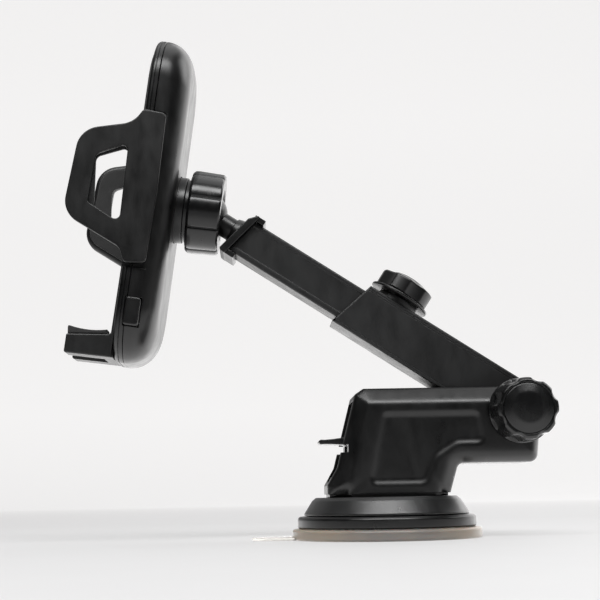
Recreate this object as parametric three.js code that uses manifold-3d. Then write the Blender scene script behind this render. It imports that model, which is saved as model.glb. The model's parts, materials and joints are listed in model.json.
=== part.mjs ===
// Car phone mount: a suction base with a lock lever, a pivoting telescopic arm,
// a ball joint with a lobed nut, and a spring-opened cradle with two claws and a foot.
//
// Units are millimetres. The part's frame has its origin at the centre of the suction
// pad's underside, +Z up, +X towards the arm's pivot and -X towards the phone. The pivot
// knob sits on the -Y side.
import * as THREE from "three";
import { mergeVertices } from "three/addons/utils/BufferGeometryUtils.js";
import Module from "manifold-3d";

const wasm = await Module();
wasm.setup();

// ---------------------------------------------------------------- driving dimensions

const RESTING_GAP = 0.15; // between pieces that lie on each other
const SLIDING_GAP = 0.3; // between pieces that slide past each other
const SHAFT_GAP = 0.08; // radial play of a shaft in its hole

const PAD_RADIUS = 35;
const PAD_HEIGHT = 4;
const DISC_RADIUS = 33;
const DISC_TOP = 8.4;
const RING_BOTTOM_RADIUS = 30.6;
const RING_TOP_RADIUS = 27.4;
const RING_TOP = 15.2;
const RING_UNDERSIDE = 13;
const STEM_RADIUS = 3;
const ANCHOR_TOP = 6; // of the disc at the stem's foot

const HOUSING_HALF_WIDTH = 16;
const HOUSING_EDGE = 4; // how far in from the side faces the edge slopes start
const HOUSING_BOTTOM = 15.5;
const HOUSING_TOP = 54.6;
const BEAM_BOTTOM = 26.8;
const CAVITY_HALF_WIDTH = 12.6;
const PIVOT = { x: 48.3, z: 45.2 };
const BASE_SCREW = { x: 11, y: 11.5, radius: 1.3 };
const HOUSING_SCREWS = [
  [-2.6, 48.4],
  [33, 32.8],
  [14.4, 21.6],
];

const LEVER_PIVOT = { x: -5.3, z: 34.6 };
const LEVER_HALF_WIDTH = 5.6;
const CAM_LENGTH = 5.5;
const CAM_ANGLE = -12; // the cam pin's direction from the lever's pin at rest
const PIN_RADIUS = 1;

const ARM_ANGLE = 33.15; // above the horizontal, towards -X
const TUBE_OFFSET = 2.3; // the tubes' centre line passes this far above the pivot
const OUTER_TUBE = { halfHeight: 9.6, halfWidth: 8.5 };
const INNER_TUBE = { halfHeight: 7.2, halfWidth: 6.5, from: 48, to: 119, wall: 1.6 };
const MOUTH = { top: 70.3, bottom: 76 };
const BOLT_RADIUS = 3;
const KNOB_RADIUS = 11.4;
const KNOB_FACE = -HOUSING_HALF_WIDTH - 0.4; // where the pivot knob meets the housing
const THUMB = { along: 58.6, seat: 14, flange: 11.9, grip: 10.7, top: 21.6 };
// The end cap's flange, measured along the arm at the tubes' top and bottom faces.
const CAP = { top: 119.9, bottom: 123, thickness: 2.9, lip: 2.3, plug: 107 };
const STUD_OFFSET = 0.97; // the ball stud sits this far above the tubes' centre line
const STUD_ROOT = 113; // where the stud's neck starts, along the arm
const STUD_PILOT = 121; // how far its screw hole reaches

const BALL = { x: -66.4, z: 124 };
const BALL_RADIUS = 8.5;
const SOCKET_RADIUS = 9.35; // of the spherical seat that the ball's sleeve turns in
const NECK_RADIUS = 4.4;
const HEAD_TILT = 7.8; // the cradle's top leans this far towards the arm

// Cradle sizes, in the cradle's own frame: x towards the arm from the ball's centre,
// y across and z along the phone.
const CRADLE = { halfWidth: 26, bottom: -62, top: 63, back: -10.7, seam: -21.7, front: -25.5 };
const CLAW = { inner: 25, outer: 28, padThickness: 1.2, travel: 19 };
const PINION = { teeth: 12, pitchRadius: 4.2 };
const RACK = { low: -20.6, high: -17.6, reach: 21 };
const NUT = { rear: -6.2, front: 6.4, radius: 15.9, lobes: 8, turn: 12 };
const CRADLE_WALL = 2.2;
const CRADLE_SCREWS = [
  [-17, -33],
  [17, -33],
  [17, 50],
  [-17, 50],
];
const BUTTON = { low: -49.8, high: -39.6, back: -16.8, front: -22.3 };
const RACK_EDGES = [4.9, 11];
const GUIDE_EDGES = [-20, -15];
const FOOT = { halfWidth: 15, gap: 6, plateTop: -25, tongue: 4, screw: -35 };

// ---------------------------------------------------------------- materials

function finish(colour, roughness, metalness = 0) {
  return new THREE.MeshStandardMaterial({ color: colour, roughness, metalness });
}

const satinBlack = finish(0x2b2c2e, 0.5);
const mattBlack = finish(0x303133, 0.65);
const glossBlack = finish(0x1d1e20, 0.3);
const softRubber = finish(0x26262a, 0.85);
const smokyGel = finish(0xb9aea2, 0.25);
const springSteel = finish(0x9a9c9f, 0.35, 1);
const zincSteel = finish(0xa8aaad, 0.4, 1);
const whiteNylon = finish(0xd8d6d0, 0.5);
const brass = finish(0xb08d4a, 0.35, 1);

// ---------------------------------------------------------------- solid helpers

const rad = THREE.MathUtils.degToRad;

/** Turns a closed three.js geometry into a manifold solid. */
function solidFrom(geometry) {
  const bare = geometry.index ? geometry.toNonIndexed() : geometry.clone();
  bare.deleteAttribute("normal");
  bare.deleteAttribute("uv");
  const merged = mergeVertices(bare, 1e-4);
  return new wasm.Manifold(
    new wasm.Mesh({
      numProp: 3,
      vertProperties: merged.attributes.position.array,
      triVerts: new Uint32Array(merged.index.array),
    }),
  );
}

/** Turns a manifold solid back into a named mesh. */
function piece(name, solid, material) {
  const { vertProperties, triVerts } = solid.getMesh();
  const geometry = new THREE.BufferGeometry();
  geometry.setAttribute("position", new THREE.BufferAttribute(vertProperties, 3));
  geometry.setIndex(new THREE.BufferAttribute(triVerts, 1));
  geometry.computeVertexNormals();
  const mesh = new THREE.Mesh(geometry, material.clone());
  mesh.name = name;
  return mesh;
}

/** Points of a closed outline whose corners are [x, y, fillet radius]. */
function outline(corners, steps = 3) {
  const at = corners.map(([x, y]) => new THREE.Vector2(x, y));
  return corners.flatMap(([, , radius = 0], i) => {
    if (!radius) return [at[i]];
    const back = at.at(i - 1).clone().sub(at[i]).normalize();
    const ahead = at[(i + 1) % at.length].clone().sub(at[i]).normalize();
    const half = Math.acos(THREE.MathUtils.clamp(back.dot(ahead), -1, 1)) / 2;
    const middle = back.clone().add(ahead).normalize();
    const centre = at[i].clone().addScaledVector(middle, radius / Math.sin(half));
    const start = at[i].clone().addScaledVector(back, radius / Math.tan(half)).sub(centre);
    const turn = Math.sign(start.cross(middle.negate())) * (Math.PI - 2 * half);
    return Array.from({ length: steps + 1 }, (_, k) =>
      start.clone().rotateAround(new THREE.Vector2(), (turn * k) / steps).add(centre),
    );
  });
}

const towardsZ = new THREE.Matrix4();
const sideways = new THREE.Matrix4().makeRotationX(Math.PI / 2);
const acrossX = new THREE.Matrix4().makeBasis(
  new THREE.Vector3(0, 1, 0),
  new THREE.Vector3(0, 0, 1),
  new THREE.Vector3(1, 0, 0),
);

function extruded(points, length, matrix) {
  const geometry = new THREE.ExtrudeGeometry(new THREE.Shape(points), {
    depth: length,
    bevelEnabled: false,
  });
  return solidFrom(geometry.applyMatrix4(matrix));
}

/** A plate with an outline in x and z, between two values of y. */
function sidePlate(points, low, high) {
  return extruded(points, high - low, sideways).translate([0, high, 0]);
}

/** A plate with an outline in y and z, between two values of x. */
function facePlate(points, low, high) {
  return extruded(points, high - low, acrossX).translate([low, 0, 0]);
}

/** A plate with an outline in x and y, between two values of z. */
function floorPlate(points, low, high) {
  return extruded(points, high - low, towardsZ).translate([0, 0, low]);
}

function box([x0, x1], [y0, y1], [z0, z1]) {
  const geometry = new THREE.BoxGeometry(x1 - x0, y1 - y0, z1 - z0);
  return solidFrom(geometry).translate([(x0 + x1) / 2, (y0 + y1) / 2, (z0 + z1) / 2]);
}

/**
 * A turned solid. The profile's points are [radius, height]: it runs up the outside, from
 * axis to axis, or round a closed loop. The axis is z, or y or x when asked.
 */
function turned(profile, { axis = "z", segments = 24 } = {}) {
  const points = profile.map(([radius, height]) => new THREE.Vector2(radius, height));
  const geometry = new THREE.LatheGeometry(points, segments);
  if (axis === "z") geometry.rotateX(Math.PI / 2);
  if (axis === "x") geometry.rotateZ(-Math.PI / 2);
  return solidFrom(geometry);
}

/** A plain rod about an axis, from one height to another. */
function rod(radius, low, high, { axis = "z", segments = 16 } = {}) {
  return turned(
    [
      [0, low],
      [radius, low],
      [radius, high],
      [0, high],
    ],
    { axis, segments },
  );
}

/** A pan-head screw: the head starts at `seat` and the shank runs from there to `tip`. */
function screw(seat, tip, radius, { axis = "z", head = 2, headHeight = 1.5 } = {}) {
  const back = seat - Math.sign(tip - seat) * headHeight;
  const profile = [
    [0, back],
    [head * 0.8, back],
    [head, back + (seat - back) * 0.4],
    [head, seat],
    [radius, seat],
    [radius, tip],
    [0, tip],
  ];
  return turned(tip > seat ? profile : profile.reverse(), { axis, segments: 8 });
}

/** A solid skinned through sections that hold equally many points: [place, points]. */
function lofted(sections, matrix) {
  const count = sections[0][1].length;
  const position = sections.flatMap(([place, points]) =>
    points.flatMap((p) => [p.x, p.y, place]),
  );
  const index = [];
  for (let s = 0; s + 1 < sections.length; s++) {
    for (let k = 0; k < count; k++) {
      const a = s * count + k;
      const b = s * count + ((k + 1) % count);
      index.push(a, b, b + count, a, b + count, a + count);
    }
  }
  const last = (sections.length - 1) * count;
  for (const [a, b, c] of THREE.ShapeUtils.triangulateShape(sections[0][1], [])) {
    index.push(c, b, a);
  }
  for (const [a, b, c] of THREE.ShapeUtils.triangulateShape(sections.at(-1)[1], [])) {
    index.push(last + a, last + b, last + c);
  }
  const geometry = new THREE.BufferGeometry();
  geometry.setAttribute("position", new THREE.Float32BufferAttribute(position, 3));
  geometry.setIndex(index);
  return solidFrom(geometry.applyMatrix4(matrix));
}

class Helix extends THREE.Curve {
  constructor(radius, low, high, turns) {
    super();
    Object.assign(this, { radius, low, high, turns });
  }

  getPoint(t, target = new THREE.Vector3()) {
    const angle = 2 * Math.PI * this.turns * t;
    const height = THREE.MathUtils.lerp(this.low, this.high, t);
    return target.set(this.radius * Math.cos(angle), this.radius * Math.sin(angle), height);
  }
}

/** A coil spring about z, between its lowest and highest points. */
function coil(radius, wire, low, high, turns) {
  const ring = Array.from({ length: 4 }, (_, k) =>
    new THREE.Vector2(wire, 0).rotateAround(new THREE.Vector2(), (k * Math.PI) / 2),
  );
  const path = new Helix(radius, low + wire, high - wire, turns);
  const geometry = new THREE.ExtrudeGeometry(new THREE.Shape(ring), {
    steps: 10 * turns,
    extrudePath: path,
  });
  return solidFrom(geometry);
}

function arc(centreX, centreY, radius, from, to, steps) {
  return Array.from({ length: steps + 1 }, (_, k) => {
    const angle = rad(from + ((to - from) * k) / steps);
    return [centreX + radius * Math.cos(angle), centreY + radius * Math.sin(angle)];
  });
}

function mirrored(solid) {
  return solid.mirror([0, 1, 0]);
}

const group = new THREE.Group();

// ---------------------------------------------------------------- suction base

function gelPad() {
  const disc = turned([
    [0, 0],
    [PAD_RADIUS - 0.6, 0],
    [PAD_RADIUS, 0.7],
    [PAD_RADIUS, PAD_HEIGHT - 0.7],
    [PAD_RADIUS - 0.6, PAD_HEIGHT],
    [0, PAD_HEIGHT],
  ], { segments: 32 });
  const tab = outline([
    [-50, -6, 4],
    [-30, -6],
    [-30, 6],
    [-50, 6, 4],
  ]);
  return disc.add(floorPlate(tab, 0, 1.2));
}

function baseScrewPlaces() {
  const { x, y } = BASE_SCREW;
  return [
    [-x, -y],
    [x, -y],
    [x, y],
    [-x, y],
  ];
}

/** The flat disc whose rim presses the pad down. */
function baseDisc() {
  const low = PAD_HEIGHT + RESTING_GAP;
  const web = 6.6;
  let disc = turned([
    [14, web],
    [28.6, web],
    [29.6, low],
    [DISC_RADIUS - 0.5, low],
    [DISC_RADIUS, low + 0.5],
    [DISC_RADIUS, DISC_TOP - 0.7],
    [DISC_RADIUS - 0.7, DISC_TOP],
    [14, DISC_TOP],
    [14, web],
  ], { segments: 32 });
  for (const [x, y] of baseScrewPlaces()) {
    const hole = rod(BASE_SCREW.radius + 0.2, 6, 9, { segments: 8 });
    disc = disc.subtract(hole.translate([x, y, 0]));
  }
  return disc;
}

/** The conical ring between disc and housing, with the stem's guide in its middle. */
function baseRing() {
  const low = DISC_TOP + SLIDING_GAP;
  const bore = STEM_RADIUS + SHAFT_GAP;
  let ring = turned([
    [bore, RING_UNDERSIDE],
    [25, RING_UNDERSIDE],
    [28.4, low],
    [RING_BOTTOM_RADIUS, low],
    [RING_BOTTOM_RADIUS - 0.2, low + 0.6],
    [RING_TOP_RADIUS, RING_TOP - 0.8],
    [RING_TOP_RADIUS - 0.8, RING_TOP],
    [5.2, RING_TOP],
    [5.2, 21],
    [bore, 21],
    [bore, RING_UNDERSIDE],
  ], { segments: 32 });
  for (const [x, y] of baseScrewPlaces()) {
    const post = rod(3, low, RING_UNDERSIDE + 1, { segments: 8 });
    const hole = rod(BASE_SCREW.radius + 0.2, low - 1, RING_TOP + 1, { segments: 8 });
    ring = ring.add(post.translate([x, y, 0])).subtract(hole.translate([x, y, 0]));
  }
  return ring;
}

/** The housing's widest outline, and the outline of its flat sides. */
function housingOutlines() {
  const middle = outline([
    [-22.4, HOUSING_BOTTOM],
    [22.2, HOUSING_BOTTOM],
    [25.8, BEAM_BOTTOM, 2.5],
    [54.9, BEAM_BOTTOM, 3.2],
    [58, HOUSING_TOP, 9],
    [-8.4, HOUSING_TOP, 1.5],
    [-11.7, 52.4, 1.5],
    [-18.7, 26, 4],
    [-22.4, 19.6, 1],
  ]);
  const side = outline([
    [-14.3, HOUSING_BOTTOM],
    [16.9, HOUSING_BOTTOM],
    [22.1, 29.3, 5],
    [52.4, 29.3, 1.6],
    [54, 49, 6],
    [-6.5, 49, 1.6],
    [-7.2, 46, 1],
    [-12.4, 25, 4],
    [-13.6, 20, 2],
  ]);
  return { middle, side };
}

function housingCavity() {
  const hollow = outline([
    [-16.3, 18.4],
    [18.6, 18.4],
    [22.6, 29.8],
    [51.6, 29.8, 2],
    [54, 51.6, 6],
    [-6.6, 51.6, 2],
    [-14.4, 23.2],
  ], 2);
  let cavity = sidePlate(hollow, -CAVITY_HALF_WIDTH, CAVITY_HALF_WIDTH);
  const keep = (radius, x, z, inner, segments = 16) => {
    const post = rod(radius, inner, 20, { axis: "y", segments }).translate([x, 0, z]);
    cavity = cavity.subtract(post).subtract(mirrored(post));
  };
  keep(10.4, PIVOT.x, PIVOT.z, 9.6, 20);
  keep(3.4, LEVER_PIVOT.x, LEVER_PIVOT.z, LEVER_HALF_WIDTH + SLIDING_GAP);
  HOUSING_SCREWS.forEach(([x, z]) => keep(3.1, x, z, 0, 10));
  for (const [x, y] of baseScrewPlaces()) {
    cavity = cavity.subtract(rod(3, 15, 23, { segments: 8 }).translate([x, y, 0]));
  }
  return cavity;
}

/** Every hole and slot that crosses the housing's walls. */
function housingOpenings() {
  const armSlot = box([7, 70], [-8.9, 8.9], [35.5, 60]);
  const eyeRoom = box([44, 70], [-8.9, 8.9], [32.4, 40]);
  const leverSlot = box([-30, -8], [-6.2, 6.2], [20.8, 38.4]);
  const thumbNotch = box([-30, -14.5], [-20, 20], [31.4, 34.3]);
  const stemHole = rod(5.6, 10, 22);
  const boltHole = rod(BOLT_RADIUS + SHAFT_GAP, -20, 20, { axis: "y" });
  const headPocket = rod(5.6, 12, 20, { axis: "y", segments: 6 });
  const washerRoom = rod(8, -9.6, 9.6, { axis: "y" });
  const pinHole = rod(PIN_RADIUS + SHAFT_GAP, -11.5, 11.5, { axis: "y", segments: 10 });
  let openings = armSlot
    .add(eyeRoom)
    .add(leverSlot)
    .add(thumbNotch)
    .add(stemHole)
    .add(boltHole.add(headPocket).add(washerRoom).translate([PIVOT.x, 0, PIVOT.z]))
    .add(pinHole.translate([LEVER_PIVOT.x, 0, LEVER_PIVOT.z]));
  for (const [x, z] of HOUSING_SCREWS) {
    const hole = rod(1.3, -9.5, 15, { axis: "y", segments: 8 });
    const pocket = rod(2.8, 12.8, 20, { axis: "y", segments: 12 });
    openings = openings.add(hole.add(pocket).translate([x, 0, z]));
  }
  for (const [x, y] of baseScrewPlaces()) {
    const pilot = rod(BASE_SCREW.radius + 0.1, 10, 21.6, { segments: 8 });
    openings = openings.add(pilot.translate([x, y, 0]));
  }
  return openings;
}

/** The soft-walled recess pressed into each flat side. */
function sideRecess() {
  const rim = outline([
    [-7, 20, 2],
    [13, 20, 3],
    [17.5, 29.5, 5],
    [25, 34.2, 5],
    [34.5, 34.2, 2],
    [33, 45, 2],
    [-1.6, 45, 2],
  ], 2);
  return sidePlate(rim, -HOUSING_HALF_WIDTH - 1, -HOUSING_HALF_WIDTH + 0.8);
}

/** Both halves of the housing, parted along the middle plane. */
function housingHalves() {
  const { middle, side } = housingOutlines();
  const slope = HOUSING_HALF_WIDTH - HOUSING_EDGE;
  const whole = lofted(
    [
      [-HOUSING_HALF_WIDTH, side],
      [-slope, middle],
      [slope, middle],
      [HOUSING_HALF_WIDTH, side],
    ],
    sideways,
  );
  const overRing = rod(RING_TOP_RADIUS - 0.8, 0, 22, { segments: 32 });
  const above = box([-90, 90], [-90, 90], [22, 90]);
  const shell = whole
    .intersect(overRing.add(above))
    .subtract(housingCavity())
    .subtract(housingOpenings())
    .subtract(sideRecess())
    .subtract(mirrored(sideRecess()));
  const near = box([-90, 90], [-90, -0.1], [-90, 90]);
  return [shell.intersect(near), shell.intersect(mirrored(near))];
}

const CAM_PIN = {
  x: LEVER_PIVOT.x + CAM_LENGTH * Math.cos(rad(CAM_ANGLE)),
  z: LEVER_PIVOT.z + CAM_LENGTH * Math.sin(rad(CAM_ANGLE)),
};

/** The stem that pulls the pad's middle up: anchor disc, rod and fork. */
function cupStem() {
  const rodAndAnchor = turned([
    [0, PAD_HEIGHT + RESTING_GAP],
    [12, PAD_HEIGHT + RESTING_GAP],
    [12, ANCHOR_TOP - 0.6],
    [11, ANCHOR_TOP],
    [STEM_RADIUS, ANCHOR_TOP],
    [STEM_RADIUS, 28.5],
    [0, 28.5],
  ]);
  const fork = box([-2.3, 2.3], [-4.8, 4.8], [27.5, 36]);
  const gap = box([-3, 3], [-2.5, 2.5], [30, 40]);
  const play = PIN_RADIUS + SHAFT_GAP;
  const slot = outline([
    [CAM_PIN.x - 1.45, CAM_PIN.z - play, 0.7],
    [CAM_PIN.x + 1.45, CAM_PIN.z - play, 0.7],
    [CAM_PIN.x + 1.45, CAM_PIN.z + play, 0.7],
    [CAM_PIN.x - 1.45, CAM_PIN.z + play, 0.7],
  ]);
  return rodAndAnchor.add(fork).subtract(gap).subtract(sidePlate(slot, -6, 6));
}

/** The lock lever: thumb tab, hub on its pin and the cam arm inside the fork. */
function lockLever() {
  const { x, z } = LEVER_PIVOT;
  const tab = outline([
    [-24.8, 34.8, 0.5],
    [-16, 34.6],
    [-12, 33.2],
    [x, z - 2.7],
    [x, z + 2.7],
    [-16, 37.1],
    [-24.8, 36.4, 0.5],
  ]);
  const hub = rod(2.7, -LEVER_HALF_WIDTH, LEVER_HALF_WIDTH, { axis: "y" });
  const camArm = outline([
    [x, z - 2.2],
    [CAM_PIN.x, CAM_PIN.z - 2.2],
    [CAM_PIN.x, CAM_PIN.z + 2.2],
    [x, z + 2.2],
  ]);
  const camEnd = rod(2.2, -2.2, 2.2, { axis: "y" });
  const holes = rod(PIN_RADIUS + SHAFT_GAP, -9, 9, { axis: "y", segments: 10 });
  return sidePlate(tab, -LEVER_HALF_WIDTH, LEVER_HALF_WIDTH)
    .add(hub.translate([x, 0, z]))
    .add(sidePlate(camArm, -2.2, 2.2))
    .add(camEnd.translate([CAM_PIN.x, 0, CAM_PIN.z]))
    .subtract(holes.translate([x, 0, z]))
    .subtract(holes.translate([CAM_PIN.x, 0, CAM_PIN.z]));
}

function addBase() {
  const [near, far] = housingHalves();
  group.add(piece("gel_pad", gelPad(), smokyGel));
  group.add(piece("base_disc", baseDisc(), satinBlack));
  group.add(piece("base_ring", baseRing(), satinBlack));
  group.add(piece("housing_near", near, satinBlack));
  group.add(piece("housing_far", far, satinBlack));
  group.add(piece("cup_stem", cupStem(), whiteNylon));
  const spring = coil(4.9, 0.45, ANCHOR_TOP + 0.1, RING_UNDERSIDE - 0.1, 3);
  group.add(piece("stem_spring", spring, springSteel));
  group.add(piece("lock_lever", lockLever(), satinBlack));
  const leverPin = rod(PIN_RADIUS, -11.3, 11.3, { axis: "y", segments: 10 });
  const pinPlace = [LEVER_PIVOT.x, 0, LEVER_PIVOT.z];
  group.add(piece("lever_pin", leverPin.translate(pinPlace), zincSteel));
  const camPin = rod(PIN_RADIUS, -4.7, 4.7, { axis: "y", segments: 10 });
  group.add(piece("cam_pin", camPin.translate([CAM_PIN.x, 0, CAM_PIN.z]), zincSteel));
  baseScrewPlaces().forEach(([x, y], i) => {
    const solid = screw(6.5, 21.4, BASE_SCREW.radius, { head: 2.6 });
    group.add(piece(`base_screw_${i + 1}`, solid.translate([x, y, 0]), zincSteel));
  });
  HOUSING_SCREWS.forEach(([x, z], i) => {
    const solid = screw(12.9, -9.3, 1.2, { axis: "y", head: 2.5, headHeight: 1.8 });
    group.add(piece(`housing_screw_${i + 1}`, solid.translate([x, 0, z]), zincSteel));
  });
}

// ---------------------------------------------------------------- arm

// The arm's own frame: origin on the pivot, the tubes along -x, z across the tubes.
const arm = new THREE.Group();
arm.position.set(PIVOT.x, 0, PIVOT.z);
arm.rotation.y = rad(ARM_ANGLE);
group.add(arm);

/** A point of the arm's frame, from its distance to the pivot and to the tubes' centre line. */
function onArm(along, above) {
  return [-along, above + TUBE_OFFSET];
}

function tubeBox(from, to, halfWidth, halfHeight) {
  const z = [TUBE_OFFSET - halfHeight, TUBE_OFFSET + halfHeight];
  return box([-to, -from], [-halfWidth, halfWidth], z);
}

/** The outer tube: slanted mouth, round eye at the pivot and seat for the thumb screw. */
function outerTube() {
  const { halfHeight, halfWidth } = OUTER_TUBE;
  const side = outline([
    [...onArm(MOUTH.bottom, -halfHeight), 0.4],
    [...onArm(-9, -halfHeight), 7],
    [...onArm(-9, halfHeight), 9],
    [...onArm(MOUTH.top, halfHeight), 0.4],
  ], 6);
  const eyeHole = rod(BOLT_RADIUS + SHAFT_GAP, -10, 10, { axis: "y" });
  const top = TUBE_OFFSET + halfHeight;
  const boss = rod(5.5, top - 1, THUMB.seat).translate([-THUMB.along, 0, 0]);
  const screwHole = rod(2.6, top - 3, THUMB.seat + 1).translate([-THUMB.along, 0, 0]);
  const shoePocket = rod(4.1, top - 3, top - 1).translate([-THUMB.along, 0, 0]);
  const bore = tubeBox(13, 90, INNER_TUBE.halfWidth + 0.15, INNER_TUBE.halfHeight + 0.15);
  return sidePlate(side, -halfWidth, halfWidth)
    .add(boss)
    .subtract(bore)
    .subtract(eyeHole)
    .subtract(screwHole)
    .subtract(shoePocket);
}

/** The inner tube, its end cut to the end cap's slant. */
function innerTube() {
  const { halfHeight, halfWidth, from, wall } = INNER_TUBE;
  const side = outline([
    [...onArm(CAP.bottom, -halfHeight)],
    [...onArm(from, -halfHeight)],
    [...onArm(from, halfHeight)],
    [...onArm(CAP.top, halfHeight)],
  ]);
  return sidePlate(side, -halfWidth, halfWidth).subtract(
    tubeBox(0, 150, halfWidth - wall, halfHeight - wall),
  );
}

function endCap() {
  const { halfHeight, halfWidth, wall } = INNER_TUBE;
  const slant = (CAP.bottom - CAP.top) / (2 * halfHeight);
  const back = (above) => onArm(CAP.top + 0.2 + slant * (halfHeight - above), above);
  const front = (above) => [back(above)[0] - CAP.thickness, back(above)[1]];
  const top = halfHeight + CAP.lip; // the flange stands proud of the tube
  const flange = outline([
    [...front(-top + 0.4), 0.5],
    back(-top),
    back(top),
    front(top - 2.6),
  ]);
  const dome = turned([
    [0, -4.4],
    [NECK_RADIUS + 0.9, -4.4],
    [6.4, -2.2],
    [6.6, 0],
    [0, 0],
  ], { axis: "x" });
  const fit = wall + 0.2;
  const plug = tubeBox(CAP.plug, CAP.top + 3, halfWidth - fit, halfHeight - fit);
  const clip = (along, z) => box([-along - 1.5, -along + 2.5], [-6, 6], z);
  const over = TUBE_OFFSET + halfHeight + RESTING_GAP;
  const under = TUBE_OFFSET - halfHeight - RESTING_GAP;
  const topClip = clip(CAP.top, [over, over + 2]);
  const bottomClip = clip(CAP.bottom, [under - 2, under]);
  const studAxis = TUBE_OFFSET + STUD_OFFSET;
  const neckHole = NECK_RADIUS + SHAFT_GAP;
  const studHole = rod(neckHole, -140, 0.1 - STUD_ROOT, { axis: "x", segments: 24 });
  const screwHole = rod(1.7, -115, -100, { axis: "x", segments: 10 });
  return sidePlate(flange, -halfWidth - CAP.lip, halfWidth + CAP.lip)
    .add(dome.translate([-CAP.bottom - 0.2, 0, studAxis]))
    .add(plug)
    .add(topClip)
    .add(bottomClip)
    .subtract(studHole.add(screwHole).translate([0, 0, studAxis]));
}

/** The ball on its neck, with the shank that the end cap holds. */
function ballStud(ballX) {
  const neckMeets = 180 - THREE.MathUtils.radToDeg(Math.asin(NECK_RADIUS / BALL_RADIUS));
  const sphere = arc(0, 0, BALL_RADIUS, 0, neckMeets, 10).map(([across, round]) => [
    round,
    ballX - across,
  ]);
  return turned([
    ...sphere,
    [NECK_RADIUS, -STUD_ROOT],
    [1.6, -STUD_ROOT],
    [1.6, -STUD_PILOT],
    [0, -STUD_PILOT],
  ], { axis: "x" });
}

/** A knob's grip with scallops cut round its rim, the first one at an angle from x. */
function scalloped(profile, { count, radius, depth, first, segments = 28 }) {
  const rim = Math.max(...profile.map(([r]) => r));
  const low = Math.min(...profile.map(([, z]) => z)) - 1;
  const high = Math.max(...profile.map(([, z]) => z)) + 1;
  const scoop = rod(radius, low, high, { segments: radius > 6 ? 32 : 12 });
  const cutter = scoop.translate([rim + radius - depth, 0, 0]);
  const cutters = Array.from({ length: count }, (_, k) =>
    cutter.rotate([0, 0, first + (360 * k) / count]),
  );
  return turned(profile, { segments }).subtract(wasm.Manifold.union(cutters));
}

/** The pivot's clamping knob: a plain rim, then a scalloped grip with a domed face. */
function pivotKnob() {
  const grip = scalloped([
    [0, 1.9],
    [KNOB_RADIUS, 1.9],
    [KNOB_RADIUS - 0.4, 13.2],
    [KNOB_RADIUS - 1.6, 14.4],
    [8.9, 14.4],
    [7, 15.3],
    [0, 15.8],
  ], { count: 8, radius: 5, depth: 0.9, first: 25 });
  const rim = rod(11.8, 0, 2, { segments: 32 });
  const insert = rod(4.7, -1, 9);
  return grip.add(rim).subtract(insert);
}

function onPivot(solid) {
  return solid.rotate([90, 0, 0]).translate([0, KNOB_FACE, 0]);
}

/** The thumb screw's knob: flange, five-lobed grip and a low dome. */
function thumbKnob() {
  const { seat, flange, grip, top } = THUMB;
  const start = seat + SLIDING_GAP;
  const lobed = scalloped([
    [0, start + 0.9],
    [grip, start + 0.9],
    [grip, top - 0.8],
    [grip - 0.8, top],
    [6, top + 1.5],
    [0, top + 2],
  ], { count: 5, radius: 12, depth: 1.1, first: -70.4 });
  const plate = rod(flange, start, start + 1, { segments: 32 });
  return lobed.add(plate).subtract(rod(2.55, start - 1, 20.1));
}

function addPivot() {
  const pivot = new THREE.Group();
  pivot.position.copy(arm.position);
  group.add(pivot);
  const washer = turned([
    [BOLT_RADIUS + SHAFT_GAP, 8.65],
    [7.6, 8.65],
    [7.6, 9.45],
    [BOLT_RADIUS + SHAFT_GAP, 9.45],
    [BOLT_RADIUS + SHAFT_GAP, 8.65],
  ], { axis: "y" });
  const shank = rod(BOLT_RADIUS, -25, 12.5, { axis: "y" });
  const head = rod(5.2, 12.2, 15.6, { axis: "y", segments: 6 });
  const insert = turned([
    [BOLT_RADIUS + SHAFT_GAP, 0.2],
    [4.55, 0.2],
    [4.55, 8.8],
    [BOLT_RADIUS + SHAFT_GAP, 8.8],
    [BOLT_RADIUS + SHAFT_GAP, 0.2],
  ]);
  pivot.add(piece("washer_far", washer, whiteNylon));
  pivot.add(piece("washer_near", mirrored(washer), whiteNylon));
  pivot.add(piece("pivot_bolt", shank.add(head), zincSteel));
  pivot.add(piece("pivot_knob", onPivot(pivotKnob()), glossBlack));
  pivot.add(piece("knob_insert", onPivot(insert), brass));
}

function addArm() {
  arm.updateMatrixWorld();
  const ball = arm.worldToLocal(new THREE.Vector3(BALL.x, 0, BALL.z));
  arm.add(piece("outer_tube", outerTube(), mattBlack));
  arm.add(piece("inner_tube", innerTube(), mattBlack));
  arm.add(piece("end_cap", endCap(), satinBlack));
  arm.add(piece("ball_stud", ballStud(ball.x).translate([0, 0, ball.z]), satinBlack));
  const studScrew = screw(-106.8, -120.6, 1.5, { axis: "x", head: 2.8 });
  arm.add(piece("stud_screw", studScrew.translate([0, 0, ball.z]), zincSteel));

  const tubeTop = TUBE_OFFSET + INNER_TUBE.halfHeight;
  const onThumb = (solid) => solid.translate([-THUMB.along, 0, 0]);
  arm.add(piece("thumb_knob", onThumb(thumbKnob()), satinBlack));
  arm.add(piece("clamp_screw", onThumb(rod(2.5, tubeTop + 1.3, 19.9)), zincSteel));
  arm.add(piece("clamp_shoe", onThumb(rod(3.9, tubeTop + 0.1, tubeTop + 1.2)), whiteNylon));
}

// ---------------------------------------------------------------- ball joint

// The cradle's own frame: origin on the ball's centre, x out of the cradle's back.
const cradle = new THREE.Group();
cradle.position.set(BALL.x, 0, BALL.z);
cradle.rotation.y = rad(HEAD_TILT);
group.add(cradle);

/** An arc round the ball's centre as [radius, x], between two angles from the x axis. */
function ballArc(radius, from, to, steps) {
  return arc(0, 0, radius, from, to, steps).map(([x, across]) => [across, x]);
}

/** The split sleeve that lines the seat, round the ball. */
function ballSleeve() {
  const inside = ballArc(BALL_RADIUS + 0.24, 62, 140, 4);
  const outside = ballArc(SOCKET_RADIUS - 0.2, 140, 62, 4);
  return turned([...outside, ...inside, outside[0]], { axis: "x" });
}

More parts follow.
